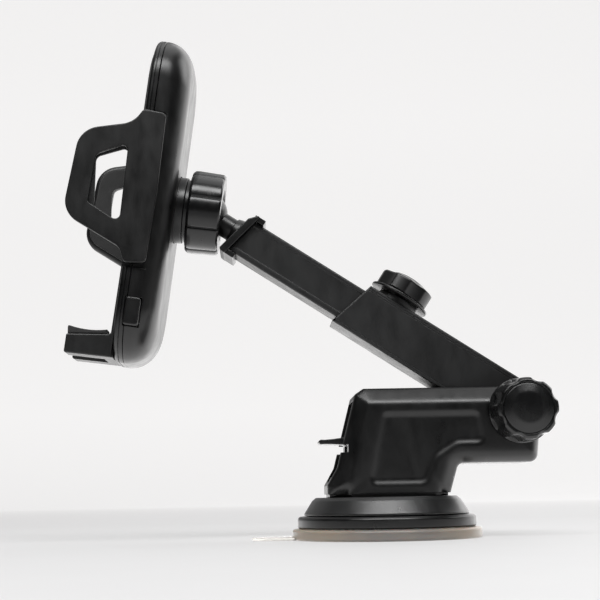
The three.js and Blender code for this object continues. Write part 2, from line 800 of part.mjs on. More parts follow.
/** The cup behind the ball. */
function socketCup() {
  const seat = ballArc(SOCKET_RADIUS, 95, 150, 4);
  const rear = -9.3;
  const profile = [[10.95, rear], [10.95, -0.9], ...seat, [4.5, rear], [10.95, rear]];
  return turned(profile, { axis: "x" });
}

/** The socket on the cradle's back: collar, threaded sleeve and inner flange. */
function ballSocket() {
  const sleeve = turned([
    [3, -15.2],
    [16, -15.2],
    [16, -14.2],
    [14.6, -13.4],
    [12.65, -13.4],
    [12.65, -7.6],
    [12, -7.6],
    [12, -0.7],
    [11.15, -0.7],
    [11.15, -9.6],
    [3, -9.6],
    [3, -15.2],
  ], { axis: "x", segments: 24 });
  const hole = rod(1.15, -20, -10, { axis: "x", segments: 8 });
  const holes = socketScrewPlaces().map(([y, z]) => hole.translate([0, y, z]));
  return sleeve.subtract(wasm.Manifold.union(holes));
}

function socketScrewPlaces() {
  const circle = 14.2;
  return [30, 150, 270].map((angle) => [
    circle * Math.cos(rad(angle)),
    circle * Math.sin(rad(angle)),
  ]);
}

/** The lobed nut that closes over the ball. */
function ballNut() {
  const { rear, front, radius, lobes, turn } = NUT;
  const lip = ballArc(SOCKET_RADIUS, 61, 92, 3);
  const body = turned([
    [12.15, rear],
    [radius - 0.6, rear],
    [radius, rear + 0.8],
    [radius - 0.3, front - 0.7],
    [radius - 0.9, front],
    [9.7, front],
    ...lip,
    [12.15, -0.3],
    [12.15, rear],
  ], { axis: "x", segments: 32 });
  const cutter = rod(1.5, rear - 1, front + 1, { axis: "x", segments: 6 });
  const groove = cutter.translate([0, radius + 0.9, 0]);
  const grooves = Array.from({ length: lobes }, (_, k) =>
    groove.rotate([(360 * (k + 0.5)) / lobes + turn, 0, 0]),
  );
  return body.subtract(wasm.Manifold.union(grooves));
}

function addBallJoint() {
  cradle.add(piece("ball_sleeve", ballSleeve(), whiteNylon));
  cradle.add(piece("socket_cup", socketCup(), whiteNylon));
  cradle.add(piece("ball_nut", ballNut(), glossBlack));
  cradle.add(piece("ball_socket", ballSocket(), satinBlack));
  socketScrewPlaces().forEach(([y, z], i) => {
    const solid = screw(-15.35, -11.6, 1, { axis: "x", head: 1.6, headHeight: 1.2 });
    cradle.add(piece(`socket_screw_${i + 1}`, solid.translate([0, y, z]), zincSteel));
  });
}

// ---------------------------------------------------------------- cradle

/** The cradle's rounded outline in y and z, drawn in by an inset. */
function cradleOutline(inset, steps = 4) {
  const { halfWidth, bottom, top } = CRADLE;
  const radius = Math.max(19 - inset * 0.7, 6);
  const side = halfWidth - inset;
  return outline([
    [-side, bottom + inset, radius],
    [side, bottom + inset, radius],
    [side, top - inset, radius],
    [-side, top - inset, radius],
  ], steps);
}

/** The shell's outside: straight near the seam, then rounding over to a flat back. */
function shellBody(wall) {
  const depth = CRADLE.back - CRADLE.seam;
  const crown = 12;
  const sections = [0, 0.45, 0.75, 0.92, 1].map((part) => {
    const inset = crown * (1 - Math.sqrt(1 - part * part)) + wall;
    return [CRADLE.seam + (depth - wall) * part, cradleOutline(inset)];
  });
  return lofted(sections, acrossX);
}

/** The openings on the near side: claw pocket, arm slots and button hole. */
function sideOpenings() {
  const pocket = outline([
    [-30, -28.8],
    [-16.2, -28.8, 1],
    [-16, 30.2, 1],
    [-30, 30.2],
  ]);
  const slot = ([low, high]) =>
    box([RACK.low - 0.3, RACK.high + 0.3], [-30, -20], [low - 0.35, high + 0.35]);
  const { low, high, back, front } = BUTTON;
  const button = box([front - 0.25, back + 0.25], [-30, -20], [low - 0.25, high + 0.25]);
  return sidePlate(pocket, -30, -CLAW.inner + SLIDING_GAP)
    .add(slot(RACK_EDGES))
    .add(slot(GUIDE_EDGES))
    .add(button);
}

/** The same openings on the far side, where the claw's arms swap places. */
function farOpenings() {
  const clawPart = box([-40, 0], [-40, 0], [-36, 40]);
  const buttonPart = box([-40, 0], [-40, 0], [-60, -36]);
  const claw = sideOpenings().intersect(clawPart);
  const swapped = claw.mirror([0, 0, 1]).intersect(box([-40, 0], [-40, 0], [-21, 21]));
  const pocket = claw.intersect(box([-40, 0], [-40, -CLAW.inner], [-36, 40]));
  return mirrored(swapped.add(pocket).add(sideOpenings().intersect(buttonPart)));
}

function backShell() {
  const bosses = CRADLE_SCREWS.map(([y, z]) =>
    rod(2.8, -22, -12, { axis: "x", segments: 8 }).translate([0, y, z]),
  );
  const pilots = CRADLE_SCREWS.map(([y, z]) =>
    rod(1.1, -23, -14.8, { axis: "x", segments: 8 }).translate([0, y, z]),
  );
  const screwEnds = socketScrewPlaces().map(([y, z]) =>
    rod(1.05, -14, -11.3, { axis: "x", segments: 8 }).translate([0, y, z]),
  );
  const outside = shellBody(0);
  return outside
    .subtract(shellBody(CRADLE_WALL))
    .add(wasm.Manifold.union(bosses).intersect(outside))
    .subtract(wasm.Manifold.union(pilots))
    .subtract(rod(13, -20, 0, { axis: "x", segments: 24 }))
    .subtract(wasm.Manifold.union(screwEnds))
    .subtract(sideOpenings())
    .subtract(farOpenings());
}

function frontCover() {
  const { seam, front } = CRADLE;
  const rim = seam - 0.2;
  const outside = lofted(
    [
      [front, cradleOutline(1.2)],
      [front + 1.2, cradleOutline(0)],
      [rim, cradleOutline(0)],
    ],
    acrossX,
  );
  const inside = facePlate(cradleOutline(CRADLE_WALL), front + 1.8, rim + 1);
  const postBoss = rod(3, front + 1, rim - 0.6, { axis: "x" });
  const postHole = rod(1.45, front + 0.6, rim, { axis: "x", segments: 12 });
  const slotHalf = FOOT.tongue + SLIDING_GAP;
  const footSlot = box([front - 1, front + 3], [-slotHalf, slotHalf], [-56, -29.5]);
  let cover = outside.subtract(inside).add(postBoss).subtract(postHole).subtract(footSlot);
  for (const [y, z] of CRADLE_SCREWS) {
    const hole = rod(1.2, front - 1, rim, { axis: "x", segments: 8 });
    const sink = rod(2.2, front - 1, front + 1.1, { axis: "x", segments: 8 });
    const boss = rod(2.8, front + 1, rim, { axis: "x", segments: 8 });
    cover = cover.add(boss.translate([0, y, z])).subtract(hole.add(sink).translate([0, y, z]));
  }
  return cover.subtract(sideOpenings()).subtract(farOpenings());
}

/** The soft pad the phone leans on. */
function frontPad() {
  const low = FOOT.plateTop + 1.5;
  const shape = outline([
    [-22, low, 2],
    [22, low, 2],
    [22, 58.6, 15],
    [-22, 58.6, 15],
  ]);
  return facePlate(shape, CRADLE.front - 0.75, CRADLE.front - RESTING_GAP);
}

function clawOutline() {
  return outline([
    [-25.4, 29.4, 1],
    [-28.5, 24, 9],
    [-48, 18.9, 9],
    [-50, -12.5, 9],
    [-27, -22.5, 5],
    [-24.8, -27.8, 0.6],
    [-17, -27, 1.2],
    [-16.4, 0],
    [-17, 29.2, 1.6],
  ]);
}

function clawWindow() {
  return outline([
    [-40.4, 10.6, 2.5],
    [-29.2, 16.2, 1.8],
    [-28.4, -13.4, 1.8],
    [-40.6, -7.3, 1.5],
  ]);
}

/** The near claw: side plate with a window, rack with its teeth, and guide arm. */
function nearClaw() {
  const { inner, outer, travel } = CLAW;
  const plate = sidePlate(clawOutline(), -outer, -inner).subtract(
    sidePlate(clawWindow(), -outer - 1, -inner + 1),
  );
  const rack = box([RACK.low, RACK.high], [-inner - 0.5, RACK.reach], RACK_EDGES);
  const guide = box([RACK.low, RACK.high], [-inner - 0.5, -6], GUIDE_EDGES);
  const pitch = (2 * Math.PI * PINION.pitchRadius) / PINION.teeth;
  const count = Math.ceil((travel + 4) / pitch);
  const teeth = Array.from({ length: count }, (_, k) => {
    const y = (k - 1) * pitch;
    const tooth = [
      [y - 0.62, RACK_EDGES[0] + 0.1],
      [y - 0.3, RACK_EDGES[0] - 1.25],
      [y + 0.3, RACK_EDGES[0] - 1.25],
      [y + 0.62, RACK_EDGES[0] + 0.1],
    ];
    return facePlate(outline(tooth), RACK.low, RACK.high);
  });
  return plate.add(rack).add(guide).add(wasm.Manifold.union(teeth));
}

/** The claw's soft lining, inset from the plate's outline and window. */
function nearClawPad() {
  const { inner, padThickness } = CLAW;
  const shape = outline([
    [-29, 21.9, 2],
    [-46.2, 17.4, 7],
    [-48, -11.3, 7],
    [-28.6, -19.7, 3],
    [-27, -10],
    [-27, 16],
  ]);
  const window = outline([
    [-40.6, 10.5, 2.5],
    [-29, 15.6, 1.8],
    [-28.2, -13.2, 1.8],
    [-38.6, -8.6, 1.5],
  ]);
  const frame = sidePlate(shape, -inner + RESTING_GAP, -inner + padThickness);
  return frame.subtract(sidePlate(window, -inner - 1, -inner + 2));
}

/** The far claw: the near plate mirrored, with rack and guide turned about the pinion. */
function farClaw() {
  const near = nearClaw();
  const armsX = [RACK.low - 1, RACK.high + 1];
  const armsZ = [-21, 12];
  const arms = near.intersect(box(armsX, [-CLAW.inner - 0.3, 40], armsZ));
  const plate = near
    .intersect(box([-60, 0], [-40, -CLAW.inner], [-40, 40]));
  return mirrored(plate).add(arms.rotate([180, 0, 0]));
}

function pinion() {
  const { teeth, pitchRadius } = PINION;
  const pitchAngle = 360 / teeth;
  const root = pitchRadius - 0.85;
  const tip = pitchRadius + 0.55;
  // A tooth space faces each rack's tooth at rest.
  const points = Array.from({ length: teeth }, (_, k) => {
    const middle = (k + 0.5) * pitchAngle + 90;
    return [
      [root, -0.3],
      [tip, -0.12],
      [tip, 0.12],
      [root, 0.3],
    ].map(([radius, offset]) => {
      const angle = rad(middle + offset * pitchAngle);
      return new THREE.Vector2(radius * Math.cos(angle), radius * Math.sin(angle));
    });
  }).flat();
  const wheel = facePlate(points, RACK.low + 0.1, RACK.high - 0.1);
  const hub = rod(2.9, RACK.low, RACK.high + 0.8, { axis: "x" });
  return wheel.add(hub).subtract(rod(1.5 + SHAFT_GAP, -30, 0, { axis: "x", segments: 12 }));
}

/** The latch: nose under the far rack, stem, and wedge between the two buttons. */
function latch() {
  const shape = outline([
    [-5, -45],
    [5, -45],
    [2.5, -38],
    [2.5, -16],
    [4, -12.4],
    [4, -11.3],
    [-4, -11.3],
    [-4, -12.4],
    [-2.5, -16],
    [-2.5, -38],
  ]);
  return facePlate(shape, RACK.low + 0.4, RACK.high - 0.2);
}

/** A release button: cap flush in the side wall, with a finger reaching the latch's wedge. */
function nearButton() {
  const { low, high, back, front } = BUTTON;
  const cap = box([front, back], [-26.9, -22.6], [low, high]);
  const finger = box([RACK.low + 0.4, RACK.high - 0.2], [-23, -8.2], [-46.5, -43]);
  return cap.add(finger);
}

/** The sliding foot: plate on the cover, two toes and a tongue through the cover's slot. */
function foot() {
  const { halfWidth, gap, plateTop, tongue } = FOOT;
  const { front } = CRADLE;
  const side = outline([
    [front - RESTING_GAP, plateTop],
    [front - 1.7, plateTop],
    [front - 1.9, -52.4, 1],
    [-43.5, -54.1, 0.4],
    [-43.5, -61.1, 0.6],
    [front - RESTING_GAP, -61],
  ]);
  const body = sidePlate(side, -halfWidth, halfWidth);
  const cableGap = box([-60, front - 4], [-gap, gap], [-70, -40]);
  const tongueBlock = box([front - 0.5, front + 2.1], [-tongue, tongue], [-40, -30]);
  const screwHole = rod(1.1, front - 1.2, front + 4, { axis: "x", segments: 10 });
  return body
    .subtract(cableGap)
    .add(tongueBlock)
    .subtract(screwHole.translate([0, 0, FOOT.screw]));
}

/** A toe's soft cap, on its upper face. */
function nearToePad() {
  const shape = outline([
    [-29, -52.35],
    [-29, -50.6],
    [-36, -51.7],
    [-43.3, -51, 0.4],
    [-43.1, -53.85],
  ]);
  return sidePlate(shape, -FOOT.halfWidth + 0.6, -FOOT.gap - 0.6);
}

function addCradleShells() {
  cradle.add(piece("back_shell", backShell(), satinBlack));
  cradle.add(piece("front_cover", frontCover(), satinBlack));
  cradle.add(piece("front_pad", frontPad(), softRubber));
  CRADLE_SCREWS.forEach(([y, z], i) => {
    const seat = CRADLE.front + 1;
    const solid = screw(seat, -15.2, 1, { axis: "x", head: 2, headHeight: 0.9 });
    cradle.add(piece(`cradle_screw_${i + 1}`, solid.translate([0, y, z]), zincSteel));
  });
}

function addClaws() {
  cradle.add(piece("claw_near", nearClaw(), mattBlack));
  cradle.add(piece("claw_far", farClaw(), mattBlack));
  cradle.add(piece("claw_pad_near", nearClawPad(), softRubber));
  cradle.add(piece("claw_pad_far", mirrored(nearClawPad()), softRubber));
  cradle.add(piece("pinion", pinion(), whiteNylon));
  const pin = rod(1.4, CRADLE.front + 0.7, -16, { axis: "x", segments: 12 });
  cradle.add(piece("pinion_pin", pin, zincSteel));
  const spring = coil(3.7, 0.3, 0, 2.6, 3).rotate([0, 90, 0]).translate([-23.6, 0, 0]);
  cradle.add(piece("claw_spring", spring, springSteel));
}

function addRelease() {
  cradle.add(piece("latch", latch(), whiteNylon));
  const spring = coil(2, 0.3, -54, -45.2, 4).translate([(RACK.low + RACK.high) / 2, 0, 0]);
  cradle.add(piece("latch_spring", spring, springSteel));
  cradle.add(piece("release_button_near", nearButton(), satinBlack));
  cradle.add(piece("release_button_far", mirrored(nearButton()), satinBlack));
}

function addFoot() {
  cradle.add(piece("foot", foot(), mattBlack));
  cradle.add(piece("toe_pad_near", nearToePad(), softRubber));
  cradle.add(piece("toe_pad_far", mirrored(nearToePad()), softRubber));
  const { front } = CRADLE;
  const plate = box([front + 2.25, front + 3.2], [-6.5, 6.5], [-40, -30]);
  const hole = rod(1.15, front + 2, front + 4, { axis: "x", segments: 10 });
  const retainer = plate.subtract(hole.translate([0, 0, FOOT.screw]));
  cradle.add(piece("foot_retainer", retainer, zincSteel));
  const footScrew = screw(front + 3.3, front - 1, 1, { axis: "x", head: 2, headHeight: 0.9 });
  cradle.add(piece("foot_screw", footScrew.translate([0, 0, FOOT.screw]), zincSteel));
}

addBase();
addPivot();
addArm();
addBallJoint();
addCradleShells();
addClaws();
addRelease();
addFoot();

export default group;
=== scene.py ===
"""The looks of the car phone mount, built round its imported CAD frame.

Meshes are made in millimetres in one of three frames and then placed in metres:
WORLD is the part's own frame, ARM has its origin on the arm's pivot with the tubes
along -x, and CRADLE has its origin in the ball's centre with x out of the cradle's back.
"""
import json
import math

import bmesh
import bpy
import numpy as np
from mathutils import Matrix, Vector
from mathutils.geometry import delaunay_2d_cdt, tessellate_polygon


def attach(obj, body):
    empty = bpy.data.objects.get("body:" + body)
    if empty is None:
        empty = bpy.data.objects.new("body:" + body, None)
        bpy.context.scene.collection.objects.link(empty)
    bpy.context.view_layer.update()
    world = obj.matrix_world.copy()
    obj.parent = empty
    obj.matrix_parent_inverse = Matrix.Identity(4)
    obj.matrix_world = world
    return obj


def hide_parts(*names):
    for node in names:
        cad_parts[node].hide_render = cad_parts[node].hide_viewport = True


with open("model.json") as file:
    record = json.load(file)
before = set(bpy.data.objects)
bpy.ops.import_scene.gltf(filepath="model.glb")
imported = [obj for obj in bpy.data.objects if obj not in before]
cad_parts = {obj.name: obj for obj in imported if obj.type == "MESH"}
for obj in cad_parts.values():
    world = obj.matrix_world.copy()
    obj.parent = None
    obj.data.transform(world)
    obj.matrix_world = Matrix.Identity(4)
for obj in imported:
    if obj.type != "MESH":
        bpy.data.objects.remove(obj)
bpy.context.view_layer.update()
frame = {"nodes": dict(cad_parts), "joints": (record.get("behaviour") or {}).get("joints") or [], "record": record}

# ------------------------------------------------------------------ frames and sizes

MM = 0.001
JOINTS = {joint["name"]: joint for joint in frame["joints"]}
PIVOT = Vector(JOINTS["arm_pivot"]["pos_m"])
BALL = Vector(JOINTS["cradle_roll"]["pos_m"])


def frame_at(origin, x_axis):
    """The matrix from millimetres in a frame, whose y is the part's y, to metres."""
    x = Vector(x_axis).normalized()
    y = Vector((0, 1, 0))
    turn = Matrix((x, y, x.cross(y))).transposed().to_4x4()
    return Matrix.Translation(origin) @ turn @ Matrix.Scale(MM, 4)


WORLD = Matrix.Scale(MM, 4)
ARM = frame_at(PIVOT, -Vector(JOINTS["arm_slide"]["axis"]))
CRADLE = frame_at(BALL, JOINTS["cradle_roll"]["axis"])


def extent(node, matrix=WORLD):
    """A CAD node's lowest and highest corners in a frame, in millimetres."""
    back = matrix.inverted()
    points = np.array([back @ v.co for v in frame["nodes"][node].data.vertices])
    return Vector(points.min(0)), Vector(points.max(0))


# ------------------------------------------------------------------ outlines

def fillet(corners, steps=8):
    """Points of a closed outline whose corners are (x, y) or (x, y, fillet radius)."""
    points = []
    count = len(corners)
    for i, corner in enumerate(corners):
        at = Vector(corner[:2])
        if len(corner) < 3:
            points.append(at)
            continue
        back = (Vector(corners[i - 1][:2]) - at).normalized()
        ahead = (Vector(corners[(i + 1) % count][:2]) - at).normalized()
        half = math.acos(max(-1, min(1, back.dot(ahead)))) / 2
        middle = (back + ahead).normalized()
        centre = at + middle * (corner[2] / math.sin(half))
        start = at + back * (corner[2] / math.tan(half)) - centre
        side = 1 if back.cross(ahead) < 0 else -1
        for k in range(steps + 1):
            turn = side * (math.pi - 2 * half) * k / steps
            points.append(centre + Matrix.Rotation(turn, 2) @ start)
    return points


def area(points):
    return sum(a.cross(b) for a, b in zip(points, points[1:] + points[:1])) / 2


def anticlockwise(points):
    return list(points) if area(points) > 0 else list(reversed(points))


def inset(points, distance):
    """The outline moved to its left by a distance, corner by corner."""
    moved = []
    count = len(points)
    for i, at in enumerate(points):
        before = (at - points[i - 1]).normalized()
        after = (points[(i + 1) % count] - at).normalized()
        left = Vector((-before.y, before.x)) + Vector((-after.y, after.x))
        scale = max(0.3, 1 + before.dot(after))
        moved.append(at + left * (distance / scale))
    return moved


def resampled(points, step):
    """The outline with no two neighbours further apart than a step."""
    dense = []
    for a, b in zip(points, points[1:] + points[:1]):
        parts = max(1, math.ceil((b - a).length / step))
        dense += [a.lerp(b, k / parts) for k in range(parts)]
    return dense


def circle(radius, count=48, centre=(0, 0)):
    turns = [2 * math.pi * k / count for k in range(count)]
    return [Vector((centre[0] + radius * math.cos(t), centre[1] + radius * math.sin(t))) for t in turns]


def arc(radius, start, end, steps, centre=(0, 0)):
    """Points (x, y) on an arc, between two angles in degrees."""
    turns = [math.radians(start + (end - start) * k / steps) for k in range(steps + 1)]
    return [(centre[0] + radius * math.cos(t), centre[1] + radius * math.sin(t)) for t in turns]


def signed_distance(points, outline):
    """Distance from each point to an outline, positive inside it."""
    start = np.array([p[:] for p in outline])
    along = np.roll(start, -1, axis=0) - start
    rel = points[:, None, :] - start[None]
    share = (rel * along).sum(2) / (along**2).sum(1)
    nearest = rel - np.clip(share, 0, 1)[..., None] * along
    distance = np.sqrt((nearest**2).sum(2)).min(1)
    end = start + along
    crosses = (start[:, 1] > points[:, None, 1]) != (end[:, 1] > points[:, None, 1])
    height = np.where(along[:, 1] == 0, 1e-9, along[:, 1])
    cut = start[:, 0] + (points[:, None, 1] - start[:, 1]) * along[:, 0] / height
    inside = (crosses & (points[:, None, 0] < cut)).sum(1) % 2 == 1
    return np.where(inside, distance, -distance)


# ------------------------------------------------------------------ solids

# Where an outline's two coordinates and its thickness lie in a frame.
SIDE = Matrix(((1, 0, 0), (0, 0, 1), (0, 1, 0)))
FACE = Matrix(((0, 0, 1), (1, 0, 0), (0, 1, 0)))
FLOOR = Matrix.Identity(3)


def solid(points, faces):
    """An unplaced mesh object, its faces turned outwards."""
    mesh = bpy.data.meshes.new("solid")
    mesh.from_pydata([tuple(p) for p in points], [], faces)
    builder = bmesh.new()
    builder.from_mesh(mesh)
    bmesh.ops.triangulate(builder, faces=[face for face in builder.faces if len(face.verts) > 4])
    builder.to_mesh(mesh)
    builder.free()
    made = bpy.data.objects.new("solid", mesh)
    bpy.context.scene.collection.objects.link(made)
    if volume(mesh) < 0:
        mesh.flip_normals()
    return made


def volume(mesh):
    mesh.calc_loop_triangles()
    at = [v.co for v in mesh.vertices]
    return sum(at[a].dot(at[b].cross(at[c])) for a, b, c in (t.vertices for t in mesh.loop_triangles))


def stacked(outlines, levels, plane=SIDE):
    """A solid through levels (inset, height) of an outer outline and its holes."""
    loops = [anticlockwise(outlines[0])] + [anticlockwise(hole)[::-1] for hole in outlines[1:]]
    points, faces = [], []
    total = sum(len(loop) for loop in loops)
    for distance, height in levels:
        for loop in loops:
            points += [plane @ Vector((p.x, p.y, height)) for p in inset(loop, distance)]
    for level in range(len(levels) - 1):
        first = level * total
        for loop in loops:
            count = len(loop)
            for k in range(count):
                a, b = first + k, first + (k + 1) % count
                faces.append((a, b, b + total, a + total))
            first += count
    flat = [[Vector((p.x, p.y, 0)) for p in inset(loop, levels[0][0])] for loop in loops]
    last = (len(levels) - 1) * total
    faces += [face[::-1] for face in capped(flat)]
    flat = [[Vector((p.x, p.y, 0)) for p in inset(loop, levels[-1][0])] for loop in loops]
    faces += [tuple(last + k for k in face) for face in capped(flat)]
    return solid(points, faces)


def capped(loops):
    """One face over a plain outline, or triangles over one with holes, turned anticlockwise."""
    if len(loops) == 1:
        return [tuple(range(len(loops[0])))]
    flat = [p for loop in loops for p in loop]
    faces = []
    for a, b, c in tessellate_polygon(loops):
        turn = (flat[b] - flat[a]).cross(flat[c] - flat[a]).z
        if abs(turn) > 1e-12:
            faces.append((a, b, c) if turn > 0 else (a, c, b))
    return faces


def rounded(low, high, edge, steps=4, high_edge=None):
    """Levels for a plate whose edges are rounded over."""
    top = edge if high_edge is None else high_edge
    turns = [math.pi / 2 * k / steps for k in range(steps + 1)]
    levels = [(edge * (1 - math.sin(t)), low + edge * (1 - math.cos(t))) for t in turns]
    levels += [(top * (1 - math.sin(t)), high - top * (1 - math.cos(t))) for t in reversed(turns)]
    return levels


def plate(outline, low, high, edge=0.0, plane=SIDE, holes=(), high_edge=None):
    levels = rounded(low, high, edge, high_edge=high_edge) if edge else [(0, low), (0, high)]
    return stacked([outline, *holes], levels, plane)


def block(x, y, z, edge=0.0):
    """A box between pairs of x, y and z, with its edges along y rounded and its ends eased."""
    (x0, x1), (y0, y1), (z0, z1) = x, y, z
    corners = [(x0, z0), (x1, z0), (x1, z1), (x0, z1)]
    if edge:
        corners = fillet([(*c, edge) for c in corners], 4)
    else:
        corners = [Vector(c) for c in corners]
    return plate(corners, y0, y1, edge * 0.7)


def turned(profile, axis="z", segments=96, relief=None):
    """A solid turned about an axis from (radius, height) points, open at the axis or closed.

    relief(radius, height, angle) gives the radius that a turned point really has.
    """
    closed = profile[0][0] > 1e-6 and profile[-1][0] > 1e-6
    points, rings, faces = [], [], []
    for radius, height in profile:
        if radius < 1e-6:
            rings.append([len(points)] * segments)
            points.append((0, 0, height))
            continue
        rings.append(range(len(points), len(points) + segments))
        for k in range(segments):
            angle = 2 * math.pi * k / segments
            r = relief(radius, height, angle) if relief else radius
            points.append((r * math.cos(angle), r * math.sin(angle), height))
    pairs = list(zip(rings, rings[1:]))
    if closed:
        pairs.append((rings[-1], rings[0]))
    for low, high in pairs:
        for k in range(segments):
            n = (k + 1) % segments
            face = list(dict.fromkeys((low[k], low[n], high[n], high[k])))
            if len(face) > 2:
                faces.append(face)
    to_axis = {"z": FLOOR, "y": SIDE, "x": Matrix(((0, 0, 1), (0, 1, 0), (-1, 0, 0)))}[axis]
    return solid([to_axis @ Vector(p) for p in points], faces)


def rod(radius, low, high, axis="z", segments=48, edge=0.0):
    if not edge:
        return turned([(0, low), (radius, low), (radius, high), (0, high)], axis, segments)
    corners = [(0, low), (radius, low, edge), (radius, high, edge), (0, high)]
    return turned([p[:] for p in fillet(corners, 4)], axis, segments)


def lofted(sections, plane=FACE):
    """A solid skinned through (height, outline) sections of equal counts."""
    count = len(sections[0][1])
    points = [plane @ Vector((p.x, p.y, height)) for height, outline in sections for p in outline]
    faces = []
    for s in range(len(sections) - 1):
        for k in range(count):
            a, b = s * count + k, s * count + (k + 1) % count
            faces.append((a, b, b + count, a + count))
    last = (len(sections) - 1) * count
    for first, outline, order in ((0, sections[0][1], -1), (last, sections[-1][1], 1)):
        for face in capped([[Vector((p.x, p.y, 0)) for p in outline]]):
            faces.append(tuple(first + k for k in face[::order]))
    return solid(points, faces)


def moved(made, by=(0, 0, 0), turn=None):
    matrix = Matrix.Translation(by)
    if turn:
        matrix = matrix @ turn
    made.data.transform(matrix)
    if matrix.determinant() < 0:
        made.data.flip_normals()
    return made


def copied(made):
    twin = made.copy()
    twin.data = made.data.copy()
    bpy.context.scene.collection.objects.link(twin)
    return twin


def mirrored(made):
    return moved(copied(made), turn=Matrix.Scale(-1, 4, (0, 1, 0)))


def boolean(made, tools, operation):
    """Joins or cuts solids, and removes the tools."""
    for tool in tools:
        modifier = made.modifiers.new("boolean", "BOOLEAN")
        modifier.operation = operation
        modifier.solver = "MANIFOLD"
        modifier.object = tool
    baked(made)
    for tool in tools:
        bpy.data.objects.remove(tool)
    return made


def cut(made, *tools):
    return boolean(made, tools, "DIFFERENCE")


def join(made, *tools):
    return boolean(made, tools, "UNION")


def keep(made, *tools):
    return boolean(made, tools, "INTERSECT")


def baked(made):
    bpy.context.view_layer.update()
    mesh = bpy.data.meshes.new_from_object(made.evaluated_get(bpy.context.evaluated_depsgraph_get()))
    made.modifiers.clear()
    made.data = mesh
    return made


SMOOTH_UP_TO = math.radians(34)


def place(made, name, matrix, body, material, *nodes):
    """Names a finished solid, puts it in the part's frame and hands it to its body."""
    made.name = name
    mesh = made.data
    mesh.name = name
    mesh.transform(matrix)
    mesh.validate()
    mesh.shade_smooth()
    mesh.set_sharp_from_angle(angle=SMOOTH_UP_TO)
    modifier = made.modifiers.new("weighted", "WEIGHTED_NORMAL")
    modifier.keep_sharp = True
    mesh.materials.clear()
    mesh.materials.append(material)
    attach(made, body)
    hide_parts(*(nodes or (name,)))
    return made


# ------------------------------------------------------------------ materials

class Nodes:
    """A material's node tree, with short ways to add and join nodes."""

    def __init__(self, name, slot):
        self.material = bpy.data.materials.new(name)
        self.material.use_nodes = True
        self.material["slot"] = slot
        self.tree = self.material.node_tree
        self.shader = self.tree.nodes["Principled BSDF"]
        self.position = self.add("ShaderNodeTexCoord").outputs["Object"]

    def add(self, kind, inputs=(), **settings):
        node = self.tree.nodes.new(kind)
        for key, value in settings.items():
            setattr(node, key, value)
        for key, value in dict(inputs).items():
            self.put(value, node.inputs[key])
        return node

    def put(self, value, socket):
        if isinstance(value, bpy.types.NodeSocket):
            self.tree.links.new(value, socket)
        else:
            socket.default_value = value

    def set(self, **inputs):
        for key, value in inputs.items():
            self.put(value, self.shader.inputs[key.replace("_", " ")])

    def noise(self, size_mm, detail=2.0, stretch=None, roughness=0.5):
        vector = self.position
        if stretch:
            mapping = self.add("ShaderNodeMapping", {"Vector": vector, "Scale": stretch})
            vector = mapping.outputs["Vector"]
        inputs = {"Vector": vector, "Scale": 1 / (size_mm * MM), "Detail": detail, "Roughness": roughness}
        return self.add("ShaderNodeTexNoise", inputs).outputs["Fac"]

    def spread(self, value, low, high, start=0.0, end=1.0):
        """Maps a value between start and end to one between low and high."""
        inputs = {"Value": value, "From Min": start, "From Max": end, "To Min": low, "To Max": high}
        return self.add("ShaderNodeMapRange", inputs).outputs["Result"]

    def math(self, operation, a, b=0.0):
        node = self.add("ShaderNodeMath", operation=operation)
        self.put(a, node.inputs[0])
        self.put(b, node.inputs[1])
        return node.outputs["Value"]

    def mixed(self, share, a, b):
        node = self.add("ShaderNodeMix", data_type="FLOAT")
        self.put(share, node.inputs["Factor"])
        self.put(a, node.inputs["A"])
        self.put(b, node.inputs["B"])
        return node.outputs["Result"]

    def blend(self, share, a, b):
        node = self.add("ShaderNodeMix", data_type="RGBA")
        self.put(share, node.inputs["Factor"])
        self.put(a, node.inputs["A"])
        self.put(b, node.inputs["B"])
        return node.outputs["Result"]

    def rounding(self, radius_mm):
        return self.add("ShaderNodeBevel", {"Radius": radius_mm * MM}, samples=6).outputs["Normal"]

    def edges(self, soft_normal):
        """Where a corner is near: 0 on open faces, rising to 1 on sharp edges."""
        normal = self.add("ShaderNodeNewGeometry").outputs["Normal"]
        node = self.add("ShaderNodeVectorMath", operation="DOT_PRODUCT")
        self.put(soft_normal, node.inputs[0])
        self.put(normal, node.inputs[1])
        return self.spread(node.outputs["Value"], 1.0, 0.0, 0.86, 0.995)

    def bump(self, height, depth_mm, normal=None):
        inputs = {"Height": height, "Distance": depth_mm * MM, "Strength": 1.0}
        if normal is not None:
            inputs["Normal"] = normal
        return self.add("ShaderNodeBump", inputs).outputs["Normal"]


def grey(value, tint=0.0):
    return (value * (1 - tint), value, value * (1 + tint), 1)


